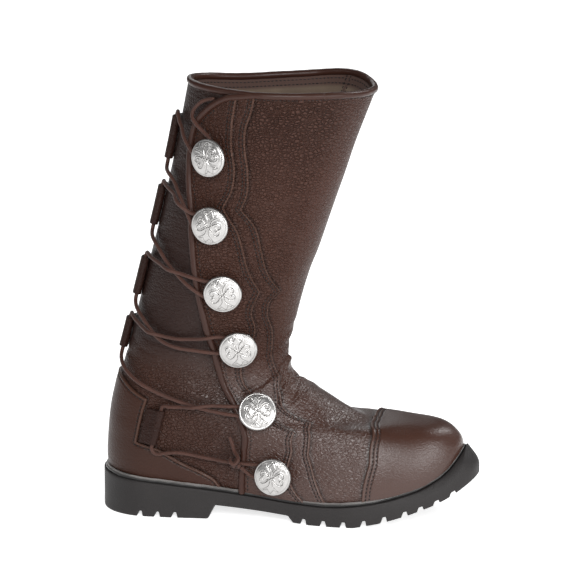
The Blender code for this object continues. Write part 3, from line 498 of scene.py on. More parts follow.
def roll_distance(level, angle):
    """Distance along the upper from the wrap's edge, minus behind it."""
    edge = np.interp(level, WRAP_LEVEL, WRAP_EDGE)
    return (angle - edge) * arc(level, edge, 1.0)


def through(stops, step=0.7, count=None):
    """Levels and angles along a smooth run past the stops, a step apart on the upper or of a given count."""
    stops = np.asarray(stops, float)
    length = run_length(steps_of(form(stops[:, 0], stops[:, 1])))
    at = np.linspace(0.0, length[-1], count or max(int(length[-1] / step), 2) + 1)
    return smooth(length, stops[:, 0], at), smooth(length, stops[:, 1], at)


def line(runs, step=0.7):
    """Levels and angles along a line of several runs that meet in cusps."""
    levels, angles = zip(*[through(run, step) for run in runs])
    level = np.concatenate([part[:-1] for part in levels[:-1]] + [levels[-1]])
    angle = np.concatenate([part[:-1] for part in angles[:-1]] + [angles[-1]])
    return level, angle


def rounded(points, steps=8):
    """Smooth run through the points."""
    points = np.asarray(points, float)
    length = run_length(steps_of(points) ** 0.5)
    at = [np.linspace(start, end, steps, endpoint=False) for start, end in zip(length[:-1], length[1:])]
    at = np.append(np.concatenate(at), length[-1])
    return np.stack([smooth(length, points[:, axis], at) for axis in range(3)], -1)


def spaced(path, step):
    """The same run with its points a step apart."""
    path = np.asarray(path, float)
    length = run_length(steps_of(path))
    return read_run(np.linspace(0.0, length[-1], max(int(round(length[-1] / step)), 2) + 1), length, path)


def eased(path, passes):
    """The same run with its corners relaxed."""
    path = np.array(path, float)
    for _ in range(passes):
        path[1:-1] = path[1:-1] * 0.5 + (path[:-2] + path[2:]) * 0.25
    return path


def distance_to(points, path, reach):
    """Distance of each point from a run of path points, no further than the reach."""
    best = np.full(len(points), reach * reach)
    inside = np.all((points > path.min(0) - reach) & (points < path.max(0) + reach), axis=1)
    close = points[inside]
    nearest = best[inside]
    for spot in path:
        nearest = np.minimum(nearest, ((close - spot) ** 2).sum(1))
    best[inside] = nearest
    return np.sqrt(best)


def strand(stops, count, heights, crossing=None):
    """Run of cord points over the upper past places given as level and angle, over another strand at a crossing."""
    level, angle = through(stops, count=count)
    distance = roll_distance(level, angle)
    height = np.interp(distance, heights, LACE_HEIGHTS)
    if crossing is not None:
        height = height + STEP_OVER * bell(distance - crossing, STEP_LENGTH)
    return list(lifted(level, angle, height))


def turn_about(number, start, end, count=6):
    """Cord points round a button's shank, by clock angle from forward toward up."""
    seat, forward, upward, out = button_frame(number)
    points = []
    for turn in np.radians(np.linspace(start, end, count)):
        side = forward * math.cos(turn) + upward * math.sin(turn)
        points.append(seat + out * LACE_AT_BUTTON + LACE_TURN * side)
    return points


def near(level, angle, forward_by, up_by):
    """Level and angle of the place so many millimetres forward of and above another."""
    climb = (form(level + 0.1, angle) - form(level - 0.1, angle)) / 0.2
    up_levels = up_by / np.linalg.norm(climb)
    return level + up_levels, angle + (forward_by - climb[0] * up_levels) / arc(level, angle, 1.0)


def beside(number, forward_by, up_by):
    """Level and angle beside a button's middle."""
    return near(BUTTON_LEVEL[number], BUTTON_ANGLE[number], forward_by, up_by)


def through_tab(number):
    """Cord points through a tunnel from its upper end to its lower one, straight for a little way outside it."""
    levels, angles = tab_ends(number)
    inside = [lifted(level, angle, tunnel_height()) for level, angle in zip(levels[::-1], angles[::-1])]
    axis = unit(inside[0] - inside[-1])
    return [inside[0] + axis * LACE_CLEAR, *inside, inside[-1] - axis * LACE_CLEAR]


def lace_run():
    """The cord from its upper end, button to tab and on, to the lowest button and back."""
    points = [lifted(*stop) for stop in LACE_TUCK]
    points += strand((LACE_START, LACE_HANG, beside(0, *LACE_FIRST)), 9, NEAR_ROLL)
    points += turn_about(0, 80.0, -110.0)
    for number in range(len(TAB_LOW)):
        lowest = number == len(TAB_LOW) - 1
        levels, angles = tab_ends(number)
        leave = beside(number, *(LACE_LEAVE if number else LACE_LEAVE_FIRST))
        arrive = near(levels[-1], angles[-1], *LACE_INTO_TAB)
        points += strand((leave, UP_PASS[number], arrive), 12, NEAR_ROLL, CROSSING[number])
        points += through_tab(number)
        side = 1.0 if lowest else -1.0
        enter = beside(number + 1, LACE_ENTER[0], side * LACE_ENTER[1])
        depart = near(levels[0], angles[0], *LACE_OUT_OF_TAB)
        points += strand((depart, *DOWN_PASS[number], enter), 14, NEAR_LOW_ROLL if lowest else NEAR_ROLL)
        points += turn_about(number + 1, side * 90.0, side * -90.0)
    return points + strand([beside(number + 1, *spot) for spot in LACE_LAST], 6, NEAR_ROLL)


def knot_run(run):
    """Coil of the cord's end round its upper strand, then the short loose end."""
    level, angle = beside(len(BUTTON_LEVEL) - 1, KNOT_BACK, LACE_ENTER[1])
    nearest = int(np.argmin(np.linalg.norm(run - lifted(level, angle, LACE_OVER_ROLL), axis=1)))
    seat = run[nearest]
    ahead = unit(run[nearest + 2] - run[nearest - 2])
    side = unit(np.cross(ahead, normal(level, angle)))
    out = np.cross(side, ahead)
    radius = 2.0 * LACE_RADIUS + GAP
    points = []
    for share in np.linspace(0.0, 1.0, 12):
        turn = 2.0 * math.pi * KNOT_TURNS * share
        points.append(seat - ahead * KNOT_PITCH * KNOT_TURNS * (share - 0.5)
                      + radius * (out * math.cos(turn) + side * math.sin(turn)))
    for forward_by, side_by, out_by in KNOT_ACROSS:
        points.append(seat + ahead * forward_by + side * side_by + out * out_by)
    for rise in LOOSE_END:
        points.append(lifted(level + rise, angle - 0.6, LACE_ON_BACK))
    return points


def crease_paths():
    """Points along each crease, on both sides where it has a mirror image."""
    paths = []
    for stops, height, width, both in CREASES:
        level, angle = through(stops, min(width / 2.0, 2.0))
        paths.append((form(level, angle), height, width))
        if both:
            paths.append((form(level, 360.0 - angle), height, width))
    return paths


def relief(level, angle):
    """Height of the creases and seams over the plain form."""
    level, angle = paired(level, angle)
    points = form(level, angle).reshape(-1, 3)
    total = np.zeros(len(points))
    for path, height, width in CREASE_PATHS:
        away = distance_to(points, path, 3.0 * width)
        total += height * (bell(away, width) - math.exp(-9.0))
    return total.reshape(level.shape)


def skin(level, angle, height):
    """Point a given height off the creased upper."""
    return lifted(level, angle, np.asarray(height, float) + relief(level, angle))


def place(points):
    """Millimetres from the sole's back edge to metres about the origin."""
    return (np.asarray(points, float) - np.array([ORIGIN_X, 0.0, 0.0])) * MM


def new_object(name, data):
    """Object that shows the data in the scene."""
    made = bpy.data.objects.new(name, data)
    bpy.context.scene.collection.objects.link(made)
    return made


def piece(name, points, faces, finish, node=None, values=None, sharp=None):
    """Shaded object from points in millimetres, in place of a node, with numbers a point for the finish to read."""
    mesh = bpy.data.meshes.new(name)
    mesh.from_pydata(place(points).tolist(), [], [list(face) for face in faces])
    for key, numbers in (values or {}).items():
        field = mesh.attributes.new(key, "FLOAT", "POINT")
        field.data.foreach_set("value", np.asarray(numbers, np.float32).ravel())
    mesh.materials.append(finish)
    mesh.shade_smooth()
    if sharp:
        mesh.set_sharp_from_angle(angle=math.radians(sharp))
    made = new_object(name, mesh)
    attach(made, "root")
    if node:
        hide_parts(node)
    return made


def cells(rows, columns, ring=False, loop=False):
    """Four corners of each cell of a grid, closed round its columns or its rows."""
    row = np.arange(rows if loop else rows - 1)[:, None]
    column = np.arange(columns if ring else columns - 1)[None, :]
    beyond = (column + 1) % columns
    above = (row + 1) % rows
    corners = (row * columns + column, row * columns + beyond, above * columns + beyond, above * columns + column)
    return np.stack(corners, -1).reshape(-1, 4)


def sheet(name, points, finish, node=None, values=None, ring=True, flip=False, sharp=None):
    """Piece over a grid of points, closed round its columns unless it is a strip."""
    faces = cells(*points.shape[:2], ring=ring)
    if flip:
        faces = faces[:, ::-1]
    return piece(name, points.reshape(-1, 3), faces, finish, node, values, sharp)


def tube(name, path, radius, finish, node, sides=14, loop=False):
    """Round tube along a run of points, of one radius or one for each point."""
    path = np.asarray(path, float)
    radius = np.broadcast_to(np.asarray(radius, float), len(path))
    along = unit(np.roll(path, -1, 0) - np.roll(path, 1, 0) if loop else np.gradient(path, axis=0))
    across = np.cross(along[0], (0.0, 0.0, 1.0))
    if np.linalg.norm(across) < 0.1:
        across = np.cross(along[0], (0.0, 1.0, 0.0))
    frames = []
    for direction in along:
        across = unit(across - direction * (across @ direction))
        frames.append((across, np.cross(direction, across)))
    frames = np.array(frames)
    turns = np.linspace(0.0, 2.0 * math.pi, sides, endpoint=False)[None, :, None]
    rings = frames[:, 0, None] * np.cos(turns) + frames[:, 1, None] * np.sin(turns)
    points = (path[:, None] + rings * radius[:, None, None]).reshape(-1, 3)
    faces = cells(len(path), sides, ring=True, loop=loop).tolist()
    if not loop:
        last = len(points)
        base = last - sides
        start = path[:1] - along[:1] * radius[0] * TUBE_END
        end = path[-1:] + along[-1:] * radius[-1] * TUBE_END
        points = np.concatenate([points, start, end])
        pairs = [(side, (side + 1) % sides) for side in range(sides)]
        faces += [(last, second, first) for first, second in pairs]
        faces += [(last + 1, base + first, base + second) for first, second in pairs]
    return piece(name, points, faces, finish, node)


def seam_shade(points, lines):
    """How close each point is to the foot of a sewn edge, from 0 to 1, where shade is painted into the colour."""
    shade = np.zeros(points.shape[:-1])
    for edge in lines:
        away = distance_to(points.reshape(-1, 3), form(*edge), 5.0).reshape(shade.shape)
        shade = np.maximum(shade, bell(away, SEAM_REACH))
    return shade


def gloss_share(level, angle):
    """How far the leather is polished, from little on the shaft to 1 over the foot."""
    foot = (1.0 - ease(level, *GLOSS_FADE)) * ease(from_back(angle), *GLOSS_SIDE)
    return GLOSS_LEAST + (1.0 - GLOSS_LEAST) * foot


def flex_share(level, angle):
    """How far a place bends with each step, from 0 to 1: the ankle's front and the vamp."""
    return ease(from_back(angle), *FLEX_SIDE) * ease(level, *FLEX_RISE) * (1.0 - ease(level, *FLEX_FADE))


def shaft_grain(level):
    """Strength of the pebbles, low over the foot and full on the shaft."""
    return GRAIN_FOOT + GRAIN_MORE * ease(level, *GRAIN_RISE)


def make_upper(finish, lines):
    """Outside of the upper with its creases, the part behind the wrap marked for wrinkles and for a painted shade
    where it turns away from the lamps.
    """
    level, angle = np.meshgrid(spread(UPPER_SPANS), np.arange(UPPER_SIDES) * 360.0 / UPPER_SIDES, indexing="ij")
    edge = wrap_edge(level)
    behind = 1.0 - ease(angle, edge - 6.0, edge - 3.0)
    rear = np.where(angle < 180.0, behind, ease(angle, *REAR_INNER))
    rear = rear * (REAR_LEAST + (1.0 - REAR_LEAST) * ease(level, *REAR_RISE))
    shin = ease(level, *SHIN_RISE) * ease(from_back(angle), *SHIN_SIDE)
    grain = shaft_grain(level) + GRAIN_COLLAR * ease(level, *COLLAR_RISE)
    grain = (1.0 - REAR_CALM * rear) * (1.0 - SHIN_CALM * shin) * grain
    quarter = (1.0 - ease(angle, edge - 6.0, edge)) * (1.0 - ease(level, *QUARTER_FADE))
    marks = {"rear": rear, "grain": np.maximum(grain, QUARTER_GRAIN * quarter),
             "seam": seam_shade(form(level, angle), lines),
             "flex": flex_share(level, angle), "gloss": gloss_share(level, angle)}
    sheet("upper_leather", skin(level, angle, np.zeros(level.shape)), finish, "upper", marks)


def make_lining(finish):
    """Inside of the upper, with a facing strip under the collar and an upright seam."""
    level, angle = np.meshgrid(spread(LINING_SPANS), np.arange(LINING_SIDES) * 360.0 / LINING_SIDES, indexing="ij")
    tape = np.abs(angle - LINING_SEAM) < 1.2
    strip = ease(level, *STRIP_EDGE)
    points = lifted(level, angle, -LINING_DEPTH + 0.9 * strip - 0.5 * tape)
    sheet("lining", points, finish, None, {"strip": np.maximum(strip, tape)}, flip=True)


def edge_profile(distance, top, base=0.0):
    """Height of a layer near its cut edge."""
    share = np.clip(distance / EDGE_ROUND, 0.0, 1.0)
    ridge = EDGE_RIDGE * bell(distance - EDGE_ROUND, EDGE_WORN)
    return base + (top - base) * np.sqrt(1.0 - (1.0 - share) ** 2) + ridge * share


def edge_wear(distance):
    """How far a cut edge is rubbed, from 0 to 1."""
    return bell(distance - EDGE_ROUND * 0.7, EDGE_WORN)


def make_facing(name, runs, top, base, lines, node, finish):
    """Scalloped layer from the wrap's edge to its own line, with sunk rows of stitches along the line."""
    level, right = line(runs, LINE_STEP)
    left = wrap_edge(level)
    left = left - ROLL_SETBACK / arc(level, left)
    pitch = arc(level, right)
    width = np.maximum((right - left) * pitch, 3.0)
    scale = np.minimum(1.0, width / (NEAR_EDGE[-1] + 2.0))
    inset = np.array(NEAR_EDGE)[None, :] * scale[:, None]
    rest = np.linspace(0.0, 1.0, 17)[1:]
    inset = np.concatenate([inset, inset[:, -1:] + (width[:, None] - inset[:, -1:]) * rest], 1)
    angle = right[:, None] - (right - left)[:, None] * inset / width[:, None]
    levels = np.repeat(level[:, None], angle.shape[1], 1)
    height = edge_profile(inset, top, base)
    height[:, 0] = base - EDGE_SINK
    groove = sum(bell(inset - row * scale[:, None], GROOVE_REACH) for row in FACING_ROWS)
    height -= GROOVE_OF_STITCHES * groove
    # The sunk stitch rows also get a painted shade.
    seam = np.maximum(seam_shade(form(levels, angle), lines), 0.3 * groove)
    marks = {"grain": shaft_grain(levels), "wear": edge_wear(inset), "seam": seam,
             "flex": flex_share(levels, angle), "gloss": gloss_share(levels, angle)}
    sheet(name, skin(levels, angle, height), finish, node, marks, ring=False, flip=True)
    return [(level, right - row * scale / pitch, top - STITCH_SINK) for row in FACING_ROWS]


def make_patch(name, centre, edge, top, rows, grain, dark, node, finish):
    """Overlay that fans from a centre to its sewn edge and its foot line, with sunk rows of stitches."""
    foot = np.linspace(edge[1][-1], edge[1][0], 122)[1:-1]
    level = np.concatenate([edge[0], np.full_like(foot, PATCH_FOOT)])
    angle = np.concatenate([edge[1], foot])
    share = 1.0 - np.concatenate([np.linspace(1.0, 0.3, 22)[:-1], np.linspace(0.3, 0.0, 44)]) ** 1.35
    levels = centre[0] + (level - centre[0])[None, :] * share[:, None]
    angles = centre[1] + (angle - centre[1])[None, :] * share[:, None]
    away = distance_to(form(levels, angles).reshape(-1, 3), form(*edge), 14.0).reshape(levels.shape)
    groove = sum(bell(away - row, GROOVE_REACH) for row in rows)
    height = edge_profile(away, top) - GROOVE_OF_STITCHES * groove
    height[-1] = -EDGE_SINK
    gloss = gloss_share(levels, angles) * (1.0 - TOP_DULL * ease(levels, *TOP_RISE))
    # The dark share gives the painted shade of the back's tone.
    marks = {"grain": np.full(levels.shape, grain), "wear": edge_wear(away), "seam": 0.3 * groove,
             "rear": np.full(levels.shape, dark), "gloss": gloss}
    sheet(name, skin(levels, angles, height), finish, node, marks)


def inward_row(edge, centre, inset):
    """Levels and angles of a row a distance inside an edge, toward a centre."""
    spots = form(*edge)
    step = 0.02
    toward = form(*[part + (middle - part) * step for part, middle in zip(edge, centre)]) - spots
    pull = np.linalg.norm(toward, axis=1)
    lean = np.linalg.norm(np.cross(toward, unit(np.gradient(spots, axis=0))), axis=1) / pull
    share = np.clip(inset / (pull / step * np.maximum(lean, 0.35)), 0.0, 0.6)
    return [part + (middle - part) * share for part, middle in zip(edge, centre)]


def mirrored(edge, turn):
    """Edge carried on over the middle line onto the other side."""
    return np.concatenate([edge[0], edge[0][-2::-1]]), np.concatenate([edge[1], turn - edge[1][-2::-1]])


def make_stitches(rows, finish):
    """All the stitches as small rounded threads, in one piece."""
    turns = np.linspace(0.0, 2.0 * math.pi, 6, endpoint=False)
    shape = np.array([(x, r * math.cos(t), r * math.sin(t)) for x, r in STITCH_STATIONS for t in turns])
    single = cells(len(STITCH_STATIONS), len(turns), ring=True)
    points = []
    faces = []
    for level, angle, height in rows:
        path = skin(level, angle, np.broadcast_to(height, level.shape))
        length = run_length(steps_of(path))
        at = np.arange(STITCH_PITCH / 2.0, length[-1], STITCH_PITCH)
        spots = read_run(at, length, path)
        outs = read_run(at, length, normal(level, angle))
        ahead = read_run(at + 0.6, length, path) - spots
        ahead = ahead / np.maximum(np.linalg.norm(ahead, axis=1, keepdims=True), 1e-6)
        side = np.cross(ahead, outs)
        for spot, x, y, z in zip(spots, ahead, side, outs):
            faces.append(single + len(points) * len(shape))
            points.append(spot + shape[:, :1] * STITCH_LENGTH * x
                          + (shape[:, 1:2] * y + shape[:, 2:] * z * 0.8) * STITCH_WIDTH / 2.0)
    piece("stitches", np.concatenate(points), np.concatenate(faces), finish)


def rim_path(angles):
    """Middle of the roll round the collar, drawn out where the wrap's roll joins it."""
    level = np.full_like(angles, TOP_LEVEL)
    rim = form(level, angles)
    rise = unit(rim - form(level - 0.1, angles))
    proud = COLLAR_PROUD * (ease(angles, 58.0, 86.0) - ease(angles, 130.0, 175.0)) - WALL / 2.0
    return rim + normal(level, angles) * proud[:, None] - rise * COLLAR_DROP


def make_rolls(finish):
    """Rolled edge of the wrap, running out into the roll round the collar."""
    level, angle = through(np.column_stack([WRAP_LEVEL, WRAP_EDGE]), 1.2)
    base = skin(level, angle, np.full(level.shape, ROLL_HEIGHT))
    aside = unit(np.cross(np.gradient(base, axis=0), normal(level, angle)))
    joint = rim_path(np.linspace(*ROLL_JOINT, 30))
    path = eased(spaced(np.concatenate([base - aside * ROLL_SETBACK, joint]), 1.2), 10)
    count = np.arange(len(path))
    wave = 1.0 + 0.03 * np.sin(count * 0.21) + 0.02 * np.sin(count * 0.53 + 1.0)
    swell = (COLLAR_RADIUS * 0.97 - ROLL_RADIUS) * ease(count, len(path) - 70.0, len(path) - 32.0)
    tube("flap_roll", path, ROLL_RADIUS * wave + swell, finish, "flap_binding")
    angles = np.linspace(0.0, 360.0, 300, endpoint=False)
    wave = 1.0 + 0.02 * np.sin(np.radians(angles) * 17.0) + 0.015 * np.sin(np.radians(angles) * 41.0)
    tube("collar_roll", rim_path(angles), COLLAR_RADIUS * wave, finish, "collar_binding", 18, True)


def ornament(x, y):
    """Engraved lines, the swell beside them and the studs on a button, each from 0 to 1."""
    spots = np.column_stack([np.ravel(x), np.ravel(y), np.zeros(np.size(x))])
    cut = np.full(len(spots), 1.0)
    for stops in SCROLLS:
        run = rounded(np.column_stack([np.array(stops), np.zeros(len(stops))]), 14)
        for mirror in ((1, 1), (-1, 1), (1, -1), (-1, -1)):
            cut = np.minimum(cut, distance_to(spots, run * np.array([*mirror, 1.0]), 0.3))
    stud = np.full(len(spots), 1.0)
    for centre in STUDS:
        stud = np.minimum(stud, np.hypot(spots[:, 0] - centre[0], spots[:, 1] - centre[1]))
    studs = np.clip(1.0 - (stud / STUD_RADIUS) ** 2, 0.0, 1.0)
    swell = bell(cut - 2.6 * SCROLL_WIDTH, 1.6 * SCROLL_WIDTH)
    return [part.reshape(np.shape(x)) for part in (bell(cut, SCROLL_WIDTH), swell, studs)]


def make_button(number, finish):
    """Domed button with a raised rim, engraved scrolls and studs, and its shank."""
    seat, forward, upward, out = button_frame(number)
    turns = np.linspace(0.0, 2.0 * math.pi, 132, endpoint=False)
    radius, turn = np.meshgrid(spread(BUTTON_SPANS), turns, indexing="ij")
    lean = math.radians(BUTTON_TURN[number])
    cut, swell, stud = ornament(radius * np.cos(turn - lean), radius * np.sin(turn - lean))
    ditch = bell(radius - 0.895, 0.02)
    inside = radius < BUTTON_FIELD
    top = BUTTON_UNDER + BUTTON_RIM + BUTTON_DOME * (1.0 - radius ** 2) ** 0.6
    top = top + 0.30 * bell(radius - 0.955, 0.03) - 0.12 * ditch + 0.40 * np.sqrt(stud)
    top = top + (0.22 * swell - 0.34 * cut) * inside
    dark = np.clip(0.62 * cut * inside + 0.30 * ditch, 0.0, 1.0)
    for reach, height in BUTTON_BACK:
        radius = np.concatenate([radius, np.full((1, len(turns)), reach)])
        top = np.concatenate([top, np.full((1, len(turns)), height)])
        dark = np.concatenate([dark, np.full((1, len(turns)), 0.3)])
    flat = forward * np.cos(turns)[:, None] + upward * np.sin(turns)[:, None]
    points = seat + flat * (radius * BUTTON_RADIUS)[..., None] + out * top[..., None]
    node = "button_%d" % (number + 1)
    sheet("domed_" + node, points, finish, node, {"dark": dark}, sharp=50.0)


def make_tab(number, finish):
    """Leather strip folded round the cord."""
    reach = TAB_REACH[number]
    low = TAB_GAP + TAB_LEATHER / 2.0
    path = [(-reach, low), (-reach / 2.0, low), (-1.5, low)]
    for turn in np.radians(np.linspace(-72.0, 72.0, 9)):
        path.append((TUNNEL_RADIUS * math.cos(turn), tunnel_height() + TUNNEL_RADIUS * math.sin(turn)))
    path += [(-1.5, low + 2.0 * TUNNEL_RADIUS), (-reach / 2.0, low + 0.5 * (TAB_LEATHER + GAP) + TUNNEL_RADIUS)]
    path += [(-reach, low + TAB_LEATHER + GAP)]
    path = rounded(np.column_stack([np.array(path), np.zeros(len(path))]), 5)[:, :2]
    levels, angles = tab_ends(number, 26)
    axis = form(levels[-1], angles[-1]) - form(levels[0], angles[0])
    rows = []
    for level, angle in zip(levels, angles):
        pitch = np.linalg.norm(np.cross(around(level, angle, 1.0), axis)) / np.linalg.norm(axis)
        rows.append(lifted(level, angle + path[:, 0] / pitch, path[:, 1]))
    points = np.array(rows)
    marks = {"grain": np.full(points.shape[:2], 0.35), "rear": np.full(points.shape[:2], 0.9)}
    name = "tab_%d" % (number + 1)
    made = sheet(name, points, finish, "lace_" + name, marks, ring=False)
    shell = made.modifiers.new("thickness", "SOLIDIFY")
    shell.thickness = TAB_LEATHER * MM
    shell.offset = 0.0
    soft = made.modifiers.new("soft edge", "BEVEL")
    soft.width = 0.35 * MM
    soft.segments = 2
    soft.limit_method = "ANGLE"
    soft.angle_limit = math.radians(50.0)


def make_lace(finish):
    """The cord through its tabs and round the buttons, with a knot and a short end at the lowest one."""
    run = rounded(lace_run())
    tube("lace_cord", eased(spaced(run, 1.0), 3), LACE_RADIUS, finish, "lace", 12)
    knot = spaced(eased(spaced(rounded(knot_run(run)), KNOT_STEP), 6), KNOT_STEP)
    end = tube("lace_end", knot, LACE_RADIUS, finish, "lace_knot", 12)


def groove_share(x):
    """How deep in a groove of the tread a place along the sole is, from 0 to 1."""
    share = np.zeros_like(x)
    for first, pitch, count in GROOVE_RUNS:
        for number in range(count):
            off = np.abs(x - first - pitch * number)
            share = np.maximum(share, 1.0 - ease(off, GROOVE_WIDTH * 0.30, GROOVE_WIDTH * 0.52))
    return share


def sole_wall(x, depth):
    """Outer and inner side of the outsole at a share of its depth, its toe sloping out below the lip."""
    front = LIP_LENGTH + (SOLE_LENGTH - LIP_LENGTH) * np.sin(np.minimum(depth / SLOPE_DEPTH, 1.0) * math.pi / 2.0)
    outline = dict(SOLE_OUTLINE, front_x=front)
    angle = np.degrees(np.arccos(1.0 - 2.0 * np.minimum(x / front, LIP_END)))
    return plan(outline, angle)[1], plan(outline, 360.0 - angle)[1]


def make_outsole(finish):
    """Outsole as fine cross sections with rounded edges, lugs and two channels along the tread."""
    turns = np.radians(np.linspace(1.5, 178.5, 150))
    ends = SOLE_LENGTH * (1.0 - np.cos(turns)) / 2.0
    x = np.unique(np.round(np.concatenate([ends, np.arange(*SOLE_STATIONS)]), 2))
    outer, inner = sole_wall(x, 1.0)
    half = (inner - outer) / 2.0
    centre = (inner + outer) / 2.0
    top = sole_top(x)
    base = np.interp(x, TREAD_X, TREAD_Z)
    base[2:-2] = np.convolve(base, np.array([1.0, 2.0, 3.0, 2.0, 1.0]) / 9.0, "valid")
    bottom = base + NOTCH_DEPTH * (1.0 - NOTCH_FADE * ease(x, *NOTCH_SPAN)) * groove_share(x)
    roof = np.maximum(bottom, base + NOTCH_DEPTH * 0.8)
    past_lip = np.clip((x - LIP_LENGTH) / (SOLE_LENGTH - LIP_LENGTH), 0.0, 1.0)
    start = SLOPE_DEPTH * 2.0 / math.pi * np.arcsin(past_lip)
    walls = []
    for share, inset in SOLE_WALL:
        depth = start + (1.0 - start) * share
        sides = sole_wall(x, depth)
        width = np.minimum(inset, (sides[1] - sides[0]) * 0.1)
        low = base if share < 0.6 else bottom
        walls.append((sides[0] + width, sides[1] - width, top + (low - top) * depth))
    tread = ((0.72, bottom), (0.46, bottom), (0.43, roof), (0.37, roof), (0.34, bottom))
    columns = [(wall[1], wall[2]) for wall in walls]
    columns += [(centre + half * share, z) for share, z in tread]
    columns += [(centre - half * share, z) for share, z in reversed(tread)]
    columns += [(wall[0], wall[2]) for wall in reversed(walls)]
    points = np.stack([np.stack([x, y, z], -1) for y, z in columns], 1)
    count, size = points.shape[:2]
    faces = cells(count, size, ring=True)[:, ::-1].tolist()
    faces += [list(range(size)), list(range((count - 1) * size, count * size))[::-1]]
    piece("lugged_sole", points.reshape(-1, 3), faces, finish, "outsole", None, 38.0)


def make_welt(finish):
    """Rounded strip on the outsole's edge round the foot of the upper."""
    angles = np.arange(400) * 360.0 / 400
    x, y, _ = plan(LIP_OUTLINE, angles)
    outer = np.stack([x, y], -1)
    along = np.roll(outer, -1, 0) - np.roll(outer, 1, 0)
    inward = unit(np.stack([-along[:, 1], along[:, 0]], -1))
    foot = lifted(np.full_like(angles, 0.25), angles, np.zeros_like(angles))[:, :2]
    wave = 0.12 * np.sin(np.radians(angles) * 23.0) + 0.08 * np.sin(np.radians(angles) * 61.0)
    rows = []
    for inset, height in WELT_PROFILE:
        spot = outer + inward * (inset + wave)[:, None]
        rows.append(np.column_stack([spot, sole_top(spot[:, 0]) + height + wave * 0.6]))
    rows.append(np.column_stack([foot, sole_top(foot[:, 0]) + 2.4]))
    # The top rows of the welt carry the painted highlight.
    painted_glint = np.repeat(np.array(WELT_GLINT_ROWS)[:, None], len(angles), 1)
    sheet("welt_strip", np.stack(rows, 0), finish, "welt", {"painted_glint": painted_glint})


def fill(tree, node, inputs):
    """Give the inputs of a node their numbers or links."""
    for key, value in inputs.items():
        if isinstance(value, bpy.types.NodeSocket):
            tree.links.new(value, node.inputs[key])
        else:
            node.inputs[key].default_value = value


def add(tree, kind, inputs=None, **settings):
    """New node with its settings and inputs."""
    made = tree.nodes.new(kind)
    for key, value in settings.items():
        setattr(made, key, value)
    fill(tree, made, inputs or {})
    return made


def start_finish(name):
    """New node finish with its tree, its shader and the place that it is read at."""
    finish = bpy.data.materials.new(name)
    finish.use_nodes = True
    tree = finish.node_tree
    return finish, tree, tree.nodes["Principled BSDF"], add(tree, "ShaderNodeTexCoord").outputs["Object"]


def plus(tree, first, second, kind="ADD"):
    """Sum of two numbers or links, or another result of them."""
    return add(tree, "ShaderNodeMath", {0: first, 1: second}, operation=kind).outputs[0]


def times(tree, first, second):
    """Product of two numbers or links."""
    return plus(tree, first, second, "MULTIPLY")


def mixed(tree, share, first, second):
    """Colour between two others."""
    return add(tree, "ShaderNodeMixRGB", {"Fac": share, "Color1": first, "Color2": second}).outputs[0]


def ranged(tree, value, low, high, start=0.0, end=1.0):
    """Number brought smoothly from one range to another."""
    ends = {"Value": value, "From Min": low, "From Max": high, "To Min": start, "To Max": end}
    return add(tree, "ShaderNodeMapRange", ends, interpolation_type="SMOOTHSTEP").outputs[0]


def noise(tree, where, scale, detail, result="Fac"):
    """Noise of so many waves to the metre."""
    return add(tree, "ShaderNodeTexNoise", {"Vector": where, "Scale": scale, "Detail": detail}).outputs[result]


def mark(tree, key):
    """Number that a piece carries at each point."""
    return add(tree, "ShaderNodeAttribute", attribute_name=key).outputs["Fac"]


def moved(tree, kind, first, second):
    """Result of two places or directions."""
    return add(tree, "ShaderNodeVectorMath", {0: first, 1: second}, operation=kind).outputs[0]


def bumped(tree, strength, distance, height):
    """Surface direction over small heights."""
    return add(tree, "ShaderNodeBump", {"Strength": strength, "Distance": distance, "Height": height}).outputs[0]


def shaded(values, share=1.0):
    """Colour with its alpha, made darker or paler by a share."""
    return (*[part * share for part in values], 1.0)


